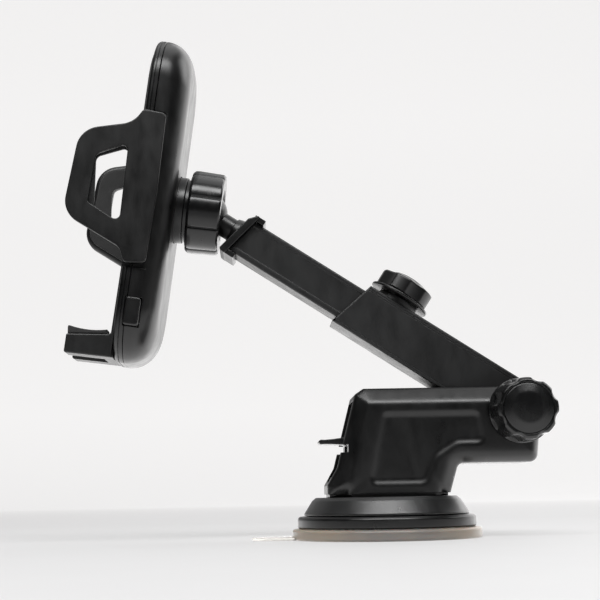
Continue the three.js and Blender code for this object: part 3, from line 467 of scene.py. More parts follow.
def moulded(name, slot, shade, gloss, grain_mm, grain_depth, rounding=0.3, edge_wear_and_highlight=0.5, ior=1.48):
    """Moulded black plastic: fine grain, uneven polish, and edges painted lighter, part rubbed wear and part painted
    edge highlight.
    """
    nodes = Nodes(name, slot)
    soft = nodes.rounding(rounding)
    edge = nodes.edges(soft)
    patches = nodes.noise(14, 3)
    smears = nodes.noise(3.5, 4, stretch=(1.0, 1.0, 0.35))
    grain = nodes.noise(grain_mm, 3, roughness=0.6)
    # edges painted lighter: part rubbed wear, part painted edge highlight
    wear_and_edge_highlight = nodes.math("MULTIPLY", edge, nodes.spread(nodes.noise(1.6, 3), 0.0, edge_wear_and_highlight, 0.42, 0.62))
    tone = nodes.blend(nodes.spread(patches, 0, 1, 0.35, 0.65), grey(shade * 0.86, 0.02), grey(shade * 1.12, 0.03))
    # the lighter edge grey is part rubbed wear and part painted edge highlight
    tone = nodes.blend(wear_and_edge_highlight, tone, grey(shade * 3.2, 0.02))
    polish = nodes.math("ADD", nodes.spread(smears, -0.05, 0.05, 0.3, 0.7), gloss)
    polish = nodes.math("ADD", polish, nodes.spread(patches, -0.03, 0.03, 0.3, 0.7))
    nodes.set(Base_Color=tone, Roughness=polish, IOR=ior)
    nodes.set(Normal=nodes.bump(grain, grain_depth, soft))
    return nodes.material


def rubbery(name, slot, shade):
    """Soft matt rubber: fine pebbled skin with a dusty bloom at grazing angles."""
    nodes = Nodes(name, slot)
    soft = nodes.rounding(0.35)
    pebble = nodes.add("ShaderNodeTexVoronoi", {"Vector": nodes.position, "Scale": 1 / (0.35 * MM)})
    dust = nodes.noise(5, 5, roughness=0.65)
    tone = nodes.blend(nodes.spread(dust, 0, 1, 0.4, 0.7), grey(shade * 0.85), grey(shade * 1.35))
    nodes.set(Base_Color=tone, Roughness=nodes.spread(dust, 0.62, 0.82, 0.3, 0.7))
    nodes.set(Sheen_Weight=0.25, Sheen_Roughness=0.5)
    nodes.set(Normal=nodes.bump(pebble.outputs["Distance"], 0.02, soft))
    return nodes.material


def gel(name, slot):
    """Smoky translucent gel, mottled, with painted light that makes it lighter towards its left and right ends, and a
    faintly dusty skin.
    """
    nodes = Nodes(name, slot)
    cloud = nodes.noise(9, 4)
    dust = nodes.noise(0.8, 4, roughness=0.7)
    across = nodes.add("ShaderNodeSeparateXYZ", {"Vector": nodes.position}).outputs["X"]
    # painted light: the gel grows lighter and browner towards its left and right ends
    painted_side_light = nodes.spread(nodes.math("ABSOLUTE", across, 0), 0, 0.8, 0.008, 0.032)
    cloud_and_side_light = nodes.math("ADD", painted_side_light, nodes.spread(cloud, 0, 0.2, 0.35, 0.65))
    tone = nodes.blend(cloud_and_side_light, (0.150, 0.140, 0.132, 1), (0.31, 0.255, 0.19, 1))
    nodes.set(Base_Color=tone, Roughness=nodes.spread(dust, 0.28, 0.34, 0.3, 0.7))
    nodes.set(Transmission_Weight=0.3, IOR=1.42, Subsurface_Weight=0.3, Subsurface_Scale=0.003)
    nodes.set(Normal=nodes.bump(nodes.noise(6, 2), 0.02, nodes.rounding(0.4)))
    return nodes.material


def clear_tab(name, slot):
    """The thin clear film of the pull tab."""
    nodes = Nodes(name, slot)
    dust = nodes.noise(0.6, 4, roughness=0.7)
    nodes.set(Base_Color=(0.80, 0.785, 0.75, 1), Transmission_Weight=0.7, IOR=1.4)
    nodes.set(Roughness=nodes.spread(dust, 0.08, 0.28, 0.3, 0.7))
    nodes.set(Normal=nodes.bump(nodes.noise(2.5, 3), 0.05))
    return nodes.material


def metal(name, slot, colour, gloss, streak=(1, 1, 1)):
    """Plated or drawn metal: streaks, fine scratches and a little tarnish."""
    nodes = Nodes(name, slot)
    soft = nodes.rounding(0.15)
    lines = nodes.noise(0.35, 4, stretch=streak)
    stain = nodes.noise(2.5, 4)
    dull = tuple(c * 0.72 for c in colour[:3]) + (1,)
    nodes.set(Base_Color=nodes.blend(nodes.spread(stain, 0, 1, 0.4, 0.7), colour, dull))
    nodes.set(Metallic=1.0, Roughness=nodes.spread(lines, gloss - 0.08, gloss + 0.12, 0.3, 0.7))
    nodes.set(Normal=nodes.bump(lines, 0.006, soft))
    return nodes.material


def nylon(name, slot):
    """Natural nylon: waxy, slightly translucent, with faint flow marks."""
    nodes = Nodes(name, slot)
    flow = nodes.noise(4, 4, stretch=(1, 1, 0.3))
    tone = nodes.blend(nodes.spread(flow, 0, 1, 0.35, 0.65), (0.66, 0.65, 0.61, 1), (0.76, 0.75, 0.71, 1))
    nodes.set(Base_Color=tone, Roughness=nodes.spread(flow, 0.38, 0.52, 0.3, 0.7))
    nodes.set(Subsurface_Weight=0.2, Subsurface_Scale=0.002)
    nodes.set(Normal=nodes.bump(nodes.noise(0.3, 3), 0.01, nodes.rounding(0.2)))
    return nodes.material


SATIN = moulded("satin_black", "satin_black", 0.003, 0.33, 0.22, 0.006)
STIPPLED = moulded("stippled_black", "satin_black", 0.009, 0.33, 0.42, 0.024, ior=1.65)
MATT = moulded("matt_black", "matt_black", 0.006, 0.44, 0.18, 0.008)
SOFT_TOUCH = moulded("soft_touch_black", "matt_black", 0.002, 0.40, 0.12, 0.006, rounding=0.4)
GLOSS = moulded("gloss_black", "gloss_black", 0.005, 0.24, 0.3, 0.002)
RUBBER = rubbery("soft_rubber", "soft_rubber", 0.008)
GEL = gel("smoky_gel", "smoky_gel")
TAB = clear_tab("clear_tab", "smoky_gel")
NYLON = nylon("white_nylon", "white_nylon")
ZINC = metal("zinc_steel", "zinc_steel", (0.56, 0.57, 0.59, 1), 0.32)
SPRING = metal("spring_steel", "spring_steel", (0.42, 0.42, 0.43, 1), 0.28, streak=(1, 1, 6))
BRASS = metal("brass", "brass", (0.66, 0.47, 0.19, 1), 0.30)
OF_SLOT = {m["slot"]: m for m in (SATIN, MATT, GLOSS, RUBBER, GEL, NYLON, ZINC, SPRING, BRASS)}


def dress_cad_nodes():
    """Gives every CAD node the material of its slot, for the ones that stay in view."""
    for part in frame["record"]["subparts"]:
        mesh = frame["nodes"][part["node"]].data
        mesh.materials.clear()
        mesh.materials.append(OF_SLOT[part["material_slot"]])


dress_cad_nodes()

# ------------------------------------------------------------------ suction base

PAD_TOP = extent("gel_pad")[1].z
PAD_RADIUS = extent("gel_pad")[1].x
DISC_LOW, DISC_HIGH = extent("base_disc")
RING_LOW, RING_HIGH = extent("base_ring")
HOUSING_LOW, HOUSING_HIGH = extent("housing_near")
STEM_BORE = 3.1
BASE_SCREW_PLACES = [(-11, -11.5), (11, -11.5), (11, 11.5), (-11, 11.5)]


def profile(*corners, steps=5):
    return [p[:] for p in fillet(corners, steps)]


def gel_pad():
    """A gel disc with a soft shallow rim, and its thin pull tab."""
    disc = turned(profile(
        (0, 0),
        (PAD_RADIUS, 0, 0.9),
        (PAD_RADIUS, PAD_TOP - 0.25, 0.9),
        (PAD_RADIUS - 2.2, PAD_TOP, 1.5),
        (0, PAD_TOP),
    ), segments=144)
    tip = extent("gel_pad")[0].x
    tab = fillet([(tip, -6, 4.5), (-33, -6.2), (-33, 6.2), (tip, 6, 4.5)])
    made = join(disc, plate(tab, 0.02, 1.2, 0.3, FLOOR))
    placed = place(made, "gel_pad_soft", WORLD, "base", GEL, "gel_pad")
    placed.data.materials.append(TAB)
    for face in placed.data.polygons:
        if face.center.x < -(PAD_RADIUS + 0.3) * MM:
            face.material_index = 1


def base_disc():
    low, high, radius = DISC_LOW.z, DISC_HIGH.z, DISC_HIGH.x
    made = turned(profile(
        (14, 6.6),
        (28.6, 6.6, 0.4),
        (29.6, low, 0.3),
        (radius, low, 0.7),
        (radius, high, 1.3),
        (14, high, 0.2),
    ), segments=144)
    holes = [moved(rod(1.6, 6, 9, segments=24), (x, y, 0)) for x, y in BASE_SCREW_PLACES]
    place(cut(made, *holes), "base_disc_turned", WORLD, "base", SATIN, "base_disc")


def base_ring():
    """The conical ring, stippled all over, with a rolled rim."""
    low, top, outer = RING_LOW.z, 15.2, RING_HIGH.x
    made = turned(profile(
        (STEM_BORE, 13),
        (25, 13, 0.5),
        (28.4, low, 0.3),
        (outer, low, 0.3),
        (outer - 0.1, low + 0.8, 0.4),
        (27.6, 14.0, 1.4),
        (26.2, top, 1.2),
        (5.2, top, 0.4),
        (5.2, 21, 0.3),
        (STEM_BORE, 21),
    ), segments=144)
    posts = [moved(rod(3, low, 14, segments=32), (x, y, 0)) for x, y in BASE_SCREW_PLACES]
    holes = [moved(rod(1.5, low - 1, 17, segments=24), (x, y, 0)) for x, y in BASE_SCREW_PLACES]
    made = cut(join(made, *posts), *holes)
    place(made, "base_ring_turned", WORLD, "base", STIPPLED, "base_ring")


HALF_WIDTH = HOUSING_HIGH.y if HOUSING_HIGH.y > 1 else -HOUSING_LOW.y
SLOPE_START = HALF_WIDTH - 4
BEAM_BOTTOM = 26.8
SLOT_Z = 35.5
LEVER_AXIS = Vector(JOINTS["lever_swing"]["pos_m"]) / MM
HOUSING_SCREW_PLACES = [(-2.6, 48.4), (33, 32.8), (14.4, 21.6)]

HOUSING_FLOOR = 15.24
HOUSING_MIDDLE = fillet([
    (-22.4, HOUSING_FLOOR, 0.4), (22.2, HOUSING_FLOOR, 0.4), (25.8, BEAM_BOTTOM, 2.5),
    (54.9, BEAM_BOTTOM, 3.2), (58, 54.6, 9), (-8.4, 54.6, 1.5), (-11.7, 52.4, 1.5), (-18.7, 26, 4),
    (-22.4, 19.6, 1),
], 10)
HOUSING_SIDE = fillet([
    (-14.3, 13.8), (16.9, 13.8), (22.1, 29.3, 5), (52.4, 29.3, 1.6),
    (54, 49, 6), (-6.5, 49, 1.6), (-12.4, 25, 4), (-13.6, 20, 2),
], 10)
PLINTH = [
    Vector(p) for p in (
        (-21.6, -11.4), (-14.0, -15.2), (16.6, -15.2), (21.5, -11.4), (21.5, 11.4), (16.6, 15.2), (-14.0, 15.2), (-21.6, 11.4),
    )
]
FRONT_CHANNEL = [(-30, 22.5), (-18.6, 22.5), (-17.1, 26), (-10.5, 50.4), (-30, 50.4)]
RECESS_RIM = fillet([
    (-7, 20, 2), (13, 20, 3), (17.5, 29.5, 5), (25, 34.2, 5), (34.5, 34.2, 2),
    (33, 45, 2), (-1.6, 45, 2),
], 10)


def housing_height(points):
    """How far the housing's side stands out from the middle plane at points of x and z."""
    from_side = -signed_distance(points, HOUSING_SIDE)
    from_middle = np.maximum(signed_distance(points, HOUSING_MIDDLE), 0)
    slope = (HALF_WIDTH - SLOPE_START) / np.maximum(from_middle + from_side, 2.5)
    soft = 1.0
    beyond = (from_side + np.sqrt(from_side**2 + soft**2)) / 2
    height = HALF_WIDTH + 0.06 - slope * beyond
    rim = np.clip(1 - from_middle / 1.1, 0, 1)
    height -= 1.1 * (1 - np.sqrt(1 - rim**2))
    dip = np.clip((signed_distance(points, RECESS_RIM) + 1.1) / 2.6, 0, 1)
    return height - 0.75 * dip * dip * (3 - 2 * dip)


def housing_body():
    """The near half's outside, closed along the middle plane."""
    rim = resampled(anticlockwise(HOUSING_MIDDLE), 0.7)
    rings = [inset(rim, d) for d in (0.0, 0.06, 0.2, 0.42, 0.75)]
    step = 0.62
    low = Vector(map(min, zip(*rim)))
    high = Vector(map(max, zip(*rim)))
    columns = np.arange(low.x, high.x, step)
    rows = np.arange(low.y, high.y, step)
    grid = np.array([(x, z) for x in columns for z in rows])
    grid = grid[signed_distance(grid, rim) > 1.05]
    flat = [p for ring in rings for p in ring] + [Vector(p) for p in grid]
    count = len(rim)
    edges = [(k, (k + 1) % count) for k in range(count)]
    found = delaunay_2d_cdt(flat, edges, [], 1, 1e-5)
    where, faces = found[0], found[2]
    height = housing_height(np.array([p[:] for p in where]))
    points = [(p.x, -h, p.y) for p, h in zip(where, height)]
    boundary = boundary_loop(faces)
    loop = [where[k] for k in boundary]
    for depth, inwards in ((-0.4, 0.0), (-0.1, 0.3)):
        first = len(points)
        points += [(p.x, depth, p.y) for p in inset(loop, inwards)]
        new = list(range(first, first + len(boundary)))
        for k in range(len(new)):
            n = (k + 1) % len(new)
            faces.append((boundary[n], boundary[k], new[k], new[n]))
        boundary = new
    made = solid(points, faces + [tuple(reversed(boundary))])
    bpy.context.view_layer.update()
    return made


def boundary_loop(faces):
    """The ring of vertices round a sheet of faces."""
    edges = {(a, b) for face in faces for a, b in zip(face, face[1:] + face[:1])}
    follow = {a: b for a, b in edges if (b, a) not in edges}
    loop = [next(iter(sorted(follow)))]
    while follow[loop[-1]] != loop[0]:
        loop.append(follow[loop[-1]])
    return loop


def housing_cavity():
    hollow = fillet([
        (-16.3, 18.4, 1), (18.6, 18.4, 1), (22.6, 29.8, 1), (51.6, 29.8, 2),
        (54, 51.6, 6), (-6.6, 51.6, 2), (-14.4, 23.2, 2),
    ])
    cavity = plate(hollow, -12.6, 12.6)
    posts = [(10.4, PIVOT.x / MM, PIVOT.z / MM, 9.6), (3.4, LEVER_AXIS.x, LEVER_AXIS.z, 5.9)]
    posts += [(3.1, x, z, 0.0) for x, z in HOUSING_SCREW_PLACES]
    tools = []
    for radius, x, z, inner in posts:
        tools.append(moved(rod(radius, inner, 20, "y"), (x, 0, z)))
        tools.append(moved(rod(radius, -20, -inner, "y"), (x, 0, z)))
    tools += [moved(rod(3, 15, 23), (x, y, 0)) for x, y in BASE_SCREW_PLACES]
    return cut(cavity, *tools)


def housing_openings():
    """Solids for the arm's slot, the lever's slot and every hole."""
    at_pivot = (PIVOT.x / MM, 0, PIVOT.z / MM)
    tools = [
        block((7, 70), (-8.9, 8.9), (SLOT_Z, 60), 0.5),
        block((44, 70), (-8.9, 8.9), (32.4, 40), 0.5),
        block((-30, -8), (-6.2, 6.2), (20.8, 38.4), 0.5),
        block((-30, -14.5), (-20, 20), (31.4, 34.3), 0.3),
        plate([Vector(p) for p in FRONT_CHANNEL], -10.4, 10.4, 0.3),
        rod(5.6, 10, 22),
        moved(rod(3.1, -20, 20, "y"), at_pivot),
        moved(rod(5.6, 12, 20, "y", 6), at_pivot),
        moved(rod(8, -9.6, 9.6, "y"), at_pivot),
        moved(rod(1.1, -11.5, 11.5, "y", 24), LEVER_AXIS),
    ]
    for x, z in HOUSING_SCREW_PLACES:
        tools.append(moved(rod(1.3, -9.5, 15, "y", 24), (x, 0, z)))
        tools.append(moved(rod(2.8, 12.8, 20, "y", 32), (x, 0, z)))
    tools += [moved(rod(1.4, 10, 21.6, segments=24), (x, y, 0)) for x, y in BASE_SCREW_PLACES]
    return tools


def housing_room():
    """What the housing may fill: a set-back plinth, the ring's flat top, and all above it."""
    return join(
        keep(plate(PLINTH, 15, 16.8, 0, FLOOR), rod(26.1, 14, 18, segments=144)),
        rod(26.6, 16.3, 22.5, segments=144),
        block((-60, 90), (-30, 30), (22, 60)),
    )


def housing():
    near = keep(housing_body(), housing_room())
    far = mirrored(near)
    place(cut(near, housing_cavity(), *housing_openings()), "housing_near_shell", WORLD, "base", SATIN, "housing_near")
    place(cut(far, housing_cavity(), *housing_openings()), "housing_far_shell", WORLD, "base", SATIN, "housing_far")


def lock_lever():
    """The thumb tab with its bulb tip, hub and cam arm."""
    lo, hi = extent("lock_lever")
    x, z = LEVER_AXIS.x, LEVER_AXIS.z
    half = hi.y
    tab = fillet([
        (lo.x, 34.7, 0.8), (-22.6, 34.8, 1), (-16.0, 34.6, 2), (-12.0, 33.2, 2), (x, z - 2.7),
        (x, z + 2.7), (-16, 37.1, 2), (-19, 36.7, 3), (-22.6, 36.4, 1), (lo.x, 36.5, 0.8),
    ], 5)
    cam = Vector(extent("cam_pin")[0]) * 0.5 + Vector(extent("cam_pin")[1]) * 0.5
    arm = [Vector(p) for p in ((x, z - 2.2), (cam.x, cam.z - 2.2), (cam.x, cam.z + 2.2), (x, z + 2.2))]
    made = join(
        plate(tab, -half, half, 0.25),
        moved(rod(2.7, -half, half, "y"), (x, 0, z)),
        plate(arm, -2.2, 2.2, 0.0),
        moved(rod(2.2, -2.2, 2.2, "y"), (cam.x, 0, cam.z)),
    )
    holes = [moved(rod(1.08, -9, 9, "y", 24), (at.x, 0, at.z)) for at in (LEVER_AXIS, cam)]
    place(cut(made, *holes), "lock_lever_tab", WORLD, "lever", SATIN, "lock_lever")


# ------------------------------------------------------------------ arm

TUBE_OFFSET = 2.3
OUTER_LOW, OUTER_HIGH = extent("outer_tube", ARM)
INNER_LOW, INNER_HIGH = extent("inner_tube", ARM)
CAP_LOW, CAP_HIGH = extent("end_cap", ARM)
STUD_LOW, STUD_HIGH = extent("ball_stud", ARM)
THUMB_X = (extent("clamp_screw", ARM)[0].x + extent("clamp_screw", ARM)[1].x) / 2
STUD_Z = (STUD_LOW.z + STUD_HIGH.z) / 2
BOLT_HOLE = 3.08
BALL_RADIUS = 8.5
SEAT_RADIUS = 9.35


def boxed(half_width, low, high, corner):
    """A rounded rectangle, centred across its first coordinate."""
    return fillet([
        (-half_width, low, corner), (half_width, low, corner),
        (half_width, high, corner), (-half_width, high, corner),
    ])


def outer_tube():
    """The outer tube: slanted mouth, round eye and boss of the thumb screw."""
    half_width = OUTER_HIGH.y
    top, bottom = TUBE_OFFSET + 9.6, TUBE_OFFSET - 9.6
    side = fillet([
        (OUTER_LOW.x, bottom, 0.3), (9, bottom, 7), (9, top, 9), (-70.3, top, 0.3),
    ], 12)
    made = plate(side, -half_width, half_width, 0.7)
    grooves = []
    for y in (-half_width, half_width):
        for z in (top - 1.3, top - 2.1, bottom + 1.4):
            grooves.append(block((-90, 1.5), (y - 0.14, y + 0.14), (z - 0.12, z + 0.12)))
    made = cut(made, *grooves)
    made = join(made, moved(rod(8.0, top - 1, 14, edge=0.3), (THUMB_X, 0, 0)))
    bore = plate(boxed(6.65, bottom + 2.25, top - 2.25, 0.8), -90, -13, 0, FACE)
    holes = [
        bore,
        rod(BOLT_HOLE, -10, 10, "y"),
        moved(rod(2.6, top - 3, 15), (THUMB_X, 0, 0)),
        moved(rod(4.1, top - 3, top - 1), (THUMB_X, 0, 0)),
    ]
    place(cut(made, *holes), "outer_tube_shell", ARM, "outer_arm", MATT, "outer_tube")


def inner_tube():
    """The inner tube: a shallow panel down each side, its end cut to the cap's slant."""
    half_width, half_height = INNER_HIGH.y, 7.2
    top, bottom = TUBE_OFFSET + half_height, TUBE_OFFSET - half_height
    depth = 0.35
    right = [
        (half_width, bottom, 0.7), (half_width, bottom + 2.0, 0.1), (half_width - depth, bottom + 2.25, 0.1),
        (half_width - depth, top - 1.95, 0.1), (half_width, top - 1.7, 0.1), (half_width, top, 0.7),
    ]
    left = [(-y, z, r) for y, z, r in reversed(right)]
    made = stacked([fillet(right + left, 4)], [(0, -126), (0.0, -48)], FACE)
    slanted = [Vector(p) for p in ((-119.9 + 0.43, top + 2), (-130, top + 2), (-130, bottom - 2), (-123 - 0.43, bottom - 2))]
    bore = plate(boxed(half_width - 1.6, bottom + 1.6, top - 1.6, 0.6), -140, -40, 0, FACE)
    place(cut(made, plate(slanted, -20, 20), bore), "inner_tube_shell", ARM, "inner_arm", MATT, "inner_tube")


def end_cap():
    """The inner tube's end cap: slanted flange, clips, plug and the stud's dome."""
    top, bottom = TUBE_OFFSET + 7.2, TUBE_OFFSET - 7.2
    lip, thickness = 2.3, 2.9
    slant = (123 - 119.9) / 14.4

    def back(z):
        return -(120.1 + slant * (top - z))

    high, low = top + lip, bottom - lip
    flange = fillet([
        (back(low + 0.4) - thickness, low + 0.4, 0.9), (back(low), low, 0.5), (back(high), high, 0.4),
        (back(high) - 0.9, high - 0.1, 0.8), (back(high - 2.9) - thickness, high - 2.9, 1.2),
    ], 6)
    made = plate(flange, CAP_LOW.y, CAP_HIGH.y, 0.4)
    dome = turned(profile(
        (0, -3.6), (5.0, -3.6, 0.3), (5.5, -1.8, 1.2), (5.8, 0, 0.3), (0, 0),
    ), "x")
    plug = plate(boxed(4.7, bottom + 1.8, top - 1.8, 0.6), -122, -107, 0.3, FACE)
    clips = []
    for z, along in ((top + 0.15, 119.9), (bottom - 2.15, 123)):
        clips.append(block((-along - 1.5, -along + 3.0), (-8.2, 8.2), (z, z + 2), 0.3))
    made = join(made, moved(dome, (-123.2, 0, STUD_Z)), plug, *clips)
    holes = [
        moved(rod(4.48, -140, -112.9, "x"), (0, 0, STUD_Z)),
        moved(rod(1.7, -115, -100, "x"), (0, 0, STUD_Z)),
    ]
    place(cut(made, *holes), "end_cap_moulded", ARM, "inner_arm", SATIN, "end_cap")


def ball_stud():
    centre = STUD_LOW.x + BALL_RADIUS
    meets = 180 - math.degrees(math.asin(4.4 / BALL_RADIUS))
    sphere = [(y, centre - x) for x, y in arc(BALL_RADIUS, 0.0, meets, 40)]
    sphere[0] = (0, centre - BALL_RADIUS)
    made = turned(sphere + [(4.4, -113.4), (4.1, -113), (1.6, -113), (1.6, -121), (0, -121)], "x")
    place(moved(made, (0, 0, STUD_Z)), "ball_stud_turned", ARM, "inner_arm", SATIN, "ball_stud")


def scoops(count, first, scoop, depth, rim):
    """The radius left by round scoops cut into a rim, as a function of the angle."""
    centre = rim + scoop - depth
    pitch = 2 * math.pi / count

    def left(angle):
        off = (angle - math.radians(first) + pitch / 2) % pitch - pitch / 2
        reach = scoop**2 - (centre * math.sin(off))**2
        return centre * math.cos(off) - math.sqrt(reach) if reach > 0 else 99.0

    return left


def smooth_min(a, b, soft):
    """The smaller of two numbers, eased where they meet."""
    h = max(soft - abs(a - b), 0) / soft
    return min(a, b) - h * h * soft / 4


def thumb_knob():
    """The thumb screw's knob: thin flange, five broad scallops and a low dome."""
    left = scoops(5, -70.4, 12.0, 1.1, 10.7)
    made = turned(profile(
        (0, 14.3), (11.9, 14.3, 0.3), (11.9, 15.3, 0.3), (10.1, 15.3, 0.2), (10.1, 15.8, 0.15),
        (10.7, 15.9, 0.25), (10.7, 21.5, 0.9), (8.2, 22.2, 0.4), (7.6, 22.2, 0.3), (6.4, 23.1, 2.0), (0, 23.6),
    ), segments=240, relief=lambda r, z, a: r if z < 15.6 or r < 8 else smooth_min(r, left(a) - (10.7 - r) * 0.9, 0.25))
    hole = rod(2.55, 13, 20.1)
    place(moved(cut(made, hole), (THUMB_X, 0, 0)), "thumb_knob_moulded", ARM, "thumb_screw", SATIN, "thumb_knob")


KNOB_FACE = extent("pivot_knob")[1].y


def pivot_knob():
    """The pivot's knob: plain rim, eight shallow lobes and a domed cap in its face."""
    left = scoops(8, 25.5, 5.3, 0.9, 11.4)

    def lobes(radius, y, angle):
        depth = KNOB_FACE - y
        if depth < 2.3 or radius < 9.3:
            return radius
        return smooth_min(radius, left(angle) - (11.4 - radius) * 0.75, 0.2)

    corners = [
        (0, 0), (11.8, 0, 0.3), (11.8, 1.9, 0.4), (11.4, 2.4, 0.3), (11.0, 13.6, 0.9), (10.0, 14.5, 0.5),
        (9.25, 14.5, 0.1), (9.15, 14.1, 0.1), (8.9, 14.1, 0.1), (8.85, 14.5, 0.3), (5.5, 15.5, 6), (0, 15.8),
    ]
    shape = [(r, KNOB_FACE - z) for r, z in profile(*corners)]
    made = turned(shape, "y", 240, lobes)
    made = cut(made, rod(4.7, KNOB_FACE - 9, KNOB_FACE + 1, "y"))
    at = (PIVOT.x / MM, 0, PIVOT.z / MM)
    place(moved(made, at), "pivot_knob_moulded", WORLD, "pivot_knob", GLOSS, "pivot_knob")


def pivot_bolt():
    """The hexagon head on the far side, chamfered, on its plain shank."""
    head = keep(
        rod(5.2, 12.2, 15.6, "y", 6),
        turned([(0, 12.2), (5.2, 12.2), (5.2, 14.9), (4.4, 15.6), (0, 15.6)], "y"),
    )
    made = join(head, rod(3, -25, 12.5, "y"))
    made = cut(made, turned([(0, 15.2), (2.4, 15.2), (2.7, 15.7), (0, 15.7)], "y"))
    at = (PIVOT.x / MM, 0, PIVOT.z / MM)
    place(moved(made, at), "pivot_bolt_forged", WORLD, "base", ZINC, "pivot_bolt")


# ------------------------------------------------------------------ screws

def pan_screw(head, height, radius, length):
    """A cross-recessed screw along z: its head above z = 0, its shank below."""
    made = turned(profile(
        (0, -length), (radius * 0.7, -length), (radius, -length + 0.6), (radius, 0), (head, 0),
        (head, height * 0.35, head * 0.2), (head * 0.72, height, head * 0.5), (0, height),
    ), segments=48)
    size = head * 0.62
    slots = [
        plate(boxed(0.17 * head, height * 0.45, height + 1, 0.0001), -size, size, 0, FACE),
        block((-0.17 * head, 0.17 * head), (-size, size), (height * 0.45, height + 1)),
    ]
    return cut(made, *slots)


def screws():
    """Every screw whose head can be seen."""
    far = Matrix.Rotation(math.radians(-90), 4, "X")
    for k, (x, z) in enumerate(HOUSING_SCREW_PLACES, 1):
        made = moved(pan_screw(2.5, 1.8, 1.2, 22.2), (x, 12.9, z), far)
        place(made, f"housing_screw_{k}_pan", WORLD, "base", ZINC, f"housing_screw_{k}")
    front = Matrix.Rotation(math.radians(-90), 4, "Y")
    for k, (y, z) in enumerate(CRADLE_SCREW_PLACES, 1):
        made = moved(pan_screw(2.0, 0.9, 1.0, 9.7), (FRONT + 1, y, z), front)
        place(made, f"cradle_screw_{k}_pan", CRADLE, "cradle", ZINC, f"cradle_screw_{k}")
    made = moved(pan_screw(2.0, 0.9, 1.0, 4.3), (FRONT + 3.3, 0, -35), Matrix.Rotation(math.radians(90), 4, "Y"))
    place(made, "foot_screw_pan", CRADLE, "foot", ZINC, "foot_screw")


# ------------------------------------------------------------------ ball joint

NUT_LOW, NUT_HIGH = extent("ball_nut", CRADLE)


def ball_arc(radius, start, end, steps):
    """An arc round the ball's centre as (radius, x), by its angle from the x axis."""
    return [(y, x) for x, y in arc(radius, start, end, steps)]


def ball_nut():
    """The nut over the ball: eight swelling lobes parted by narrow grooves."""
    rear, front, rim = NUT_LOW.x, NUT_HIGH.x, 15.9

    def lobes(radius, x, angle):
        if radius < 13.2:
            return radius
        off = (angle - math.radians(12) + math.pi / 8) % (math.pi / 4) - math.pi / 8
        side = (math.pi / 8 - abs(off)) * radius
        swell = 0.55 * (off / (math.pi / 8)) ** 2
        groove = 0.4 * math.exp(-((side / 0.36) ** 2))
        return radius - swell - groove

    lip = ball_arc(SEAT_RADIUS, 61, 92, 12)
    shape = profile(
        (12.15, rear), (rim - 0.9, rear, 0.15), (rim - 0.05, rear + 0.95, 0.35), (rim + 0.05, rear + 2.5, 3),
        (rim - 0.3, front - 0.7, 0.5), (rim - 0.9, front - 0.05, 0.3), (rim - 2.2, front, 0.2),
        (10.4, front, 0.3), (10.1, front - 0.4, 0.2), (9.2, front - 0.5, 0.2),
    ) + lip + [(12.15, -0.3)]
    made = turned(shape, "x", 320, lobes)
    place(made, "ball_nut_moulded", CRADLE, "ball_nut", GLOSS, "ball_nut")


def socket_screw_places():
    return [p[:] for p in (Vector(q) for q in arc(14.2, 30, 270, 2))]


def ball_socket():
    """The socket on the cradle's back: collar, sleeve for the nut and inner flange."""
    made = turned(profile(
        (3, -15.2), (16, -15.2), (16, -14.2), (14.6, -13.4), (12.65, -13.4), (12.65, -7.6, 0.5),
        (12, -7.6, 0.1), (12, -0.7, 0.25), (11.15, -0.7, 0.15), (11.15, -9.6), (3, -9.6),
    ), "x", 144)
    holes = [moved(rod(1.15, -20, -10, "x", 24), (0, y, z)) for y, z in socket_screw_places()]
    place(cut(made, *holes), "ball_socket_turned", CRADLE, "cradle", SATIN, "ball_socket")


# ------------------------------------------------------------------ cradle

HEAD_HALF = 26.0
HEAD_BOTTOM, HEAD_TOP = -62.0, 63.0
BACK, SEAM, FRONT = -10.7, -21.7, -25.5
WALL = 2.2
CRADLE_SCREW_PLACES = [(-17, -33), (17, -33), (17, 50), (-17, 50)]
CLAW_INNER, CLAW_OUTER = 25.0, 28.0
RACK_X = (-20.6, -17.6)
RACK_Z = (4.9, 11.0)
GUIDE_Z = (-20.0, -15.0)
BUTTON_X, BUTTON_Z = (-22.3, -16.8), (-49.8, -39.6)


def head_outline(inwards, steps=12):
    radius = max(19 - inwards * 0.7, 6)
    side = HEAD_HALF - inwards
    return fillet([
        (-side, HEAD_BOTTOM + inwards, radius), (side, HEAD_BOTTOM + inwards, radius),
        (side, HEAD_TOP - inwards, radius), (-side, HEAD_TOP - inwards, radius),
    ], steps)


def shell_body(wall, crown=12.0, count=18):
    """Straight near the seam, then rounding over to a flat back."""
    depth = BACK - SEAM
    sections = []
    for k in range(count):
        part = math.sin(math.pi / 2 * k / (count - 1))
        inwards = crown * (1 - math.sqrt(max(0, 1 - part * part))) + wall
        sections.append((SEAM + (depth - wall) * part, head_outline(inwards)))
    return lofted(sections)


def side_openings(sign):
    """Solids for one side's claw pocket, arm slots and button hole."""
    pocket = fillet([(-30, -28.8), (-16.2, -28.8, 1), (-16, 30.2, 1), (-30, 30.2)])
    outer, inner = sign * 30, sign * (CLAW_INNER - 0.3)
    tools = [plate(pocket, *sorted((outer, inner)))]
    slots = [RACK_Z, GUIDE_Z]
    if sign > 0:
        slots = [(-high, -low) for low, high in slots]
    for low, high in slots:
        x = (RACK_X[0] - 0.3, RACK_X[1] + 0.3)
        tools.append(block(x, sorted((sign * 30, sign * 20)), (low - 0.35, high + 0.35)))
    x = (BUTTON_X[0] - 0.25, BUTTON_X[1] + 0.25)
    tools.append(block(x, sorted((sign * 30, sign * 20)), (BUTTON_Z[0] - 0.25, BUTTON_Z[1] + 0.25), 0.5))
    return tools


def at_screws(radius, low, high, segments=32):
    return [moved(rod(radius, low, high, "x", segments), (0, y, z)) for y, z in CRADLE_SCREW_PLACES]


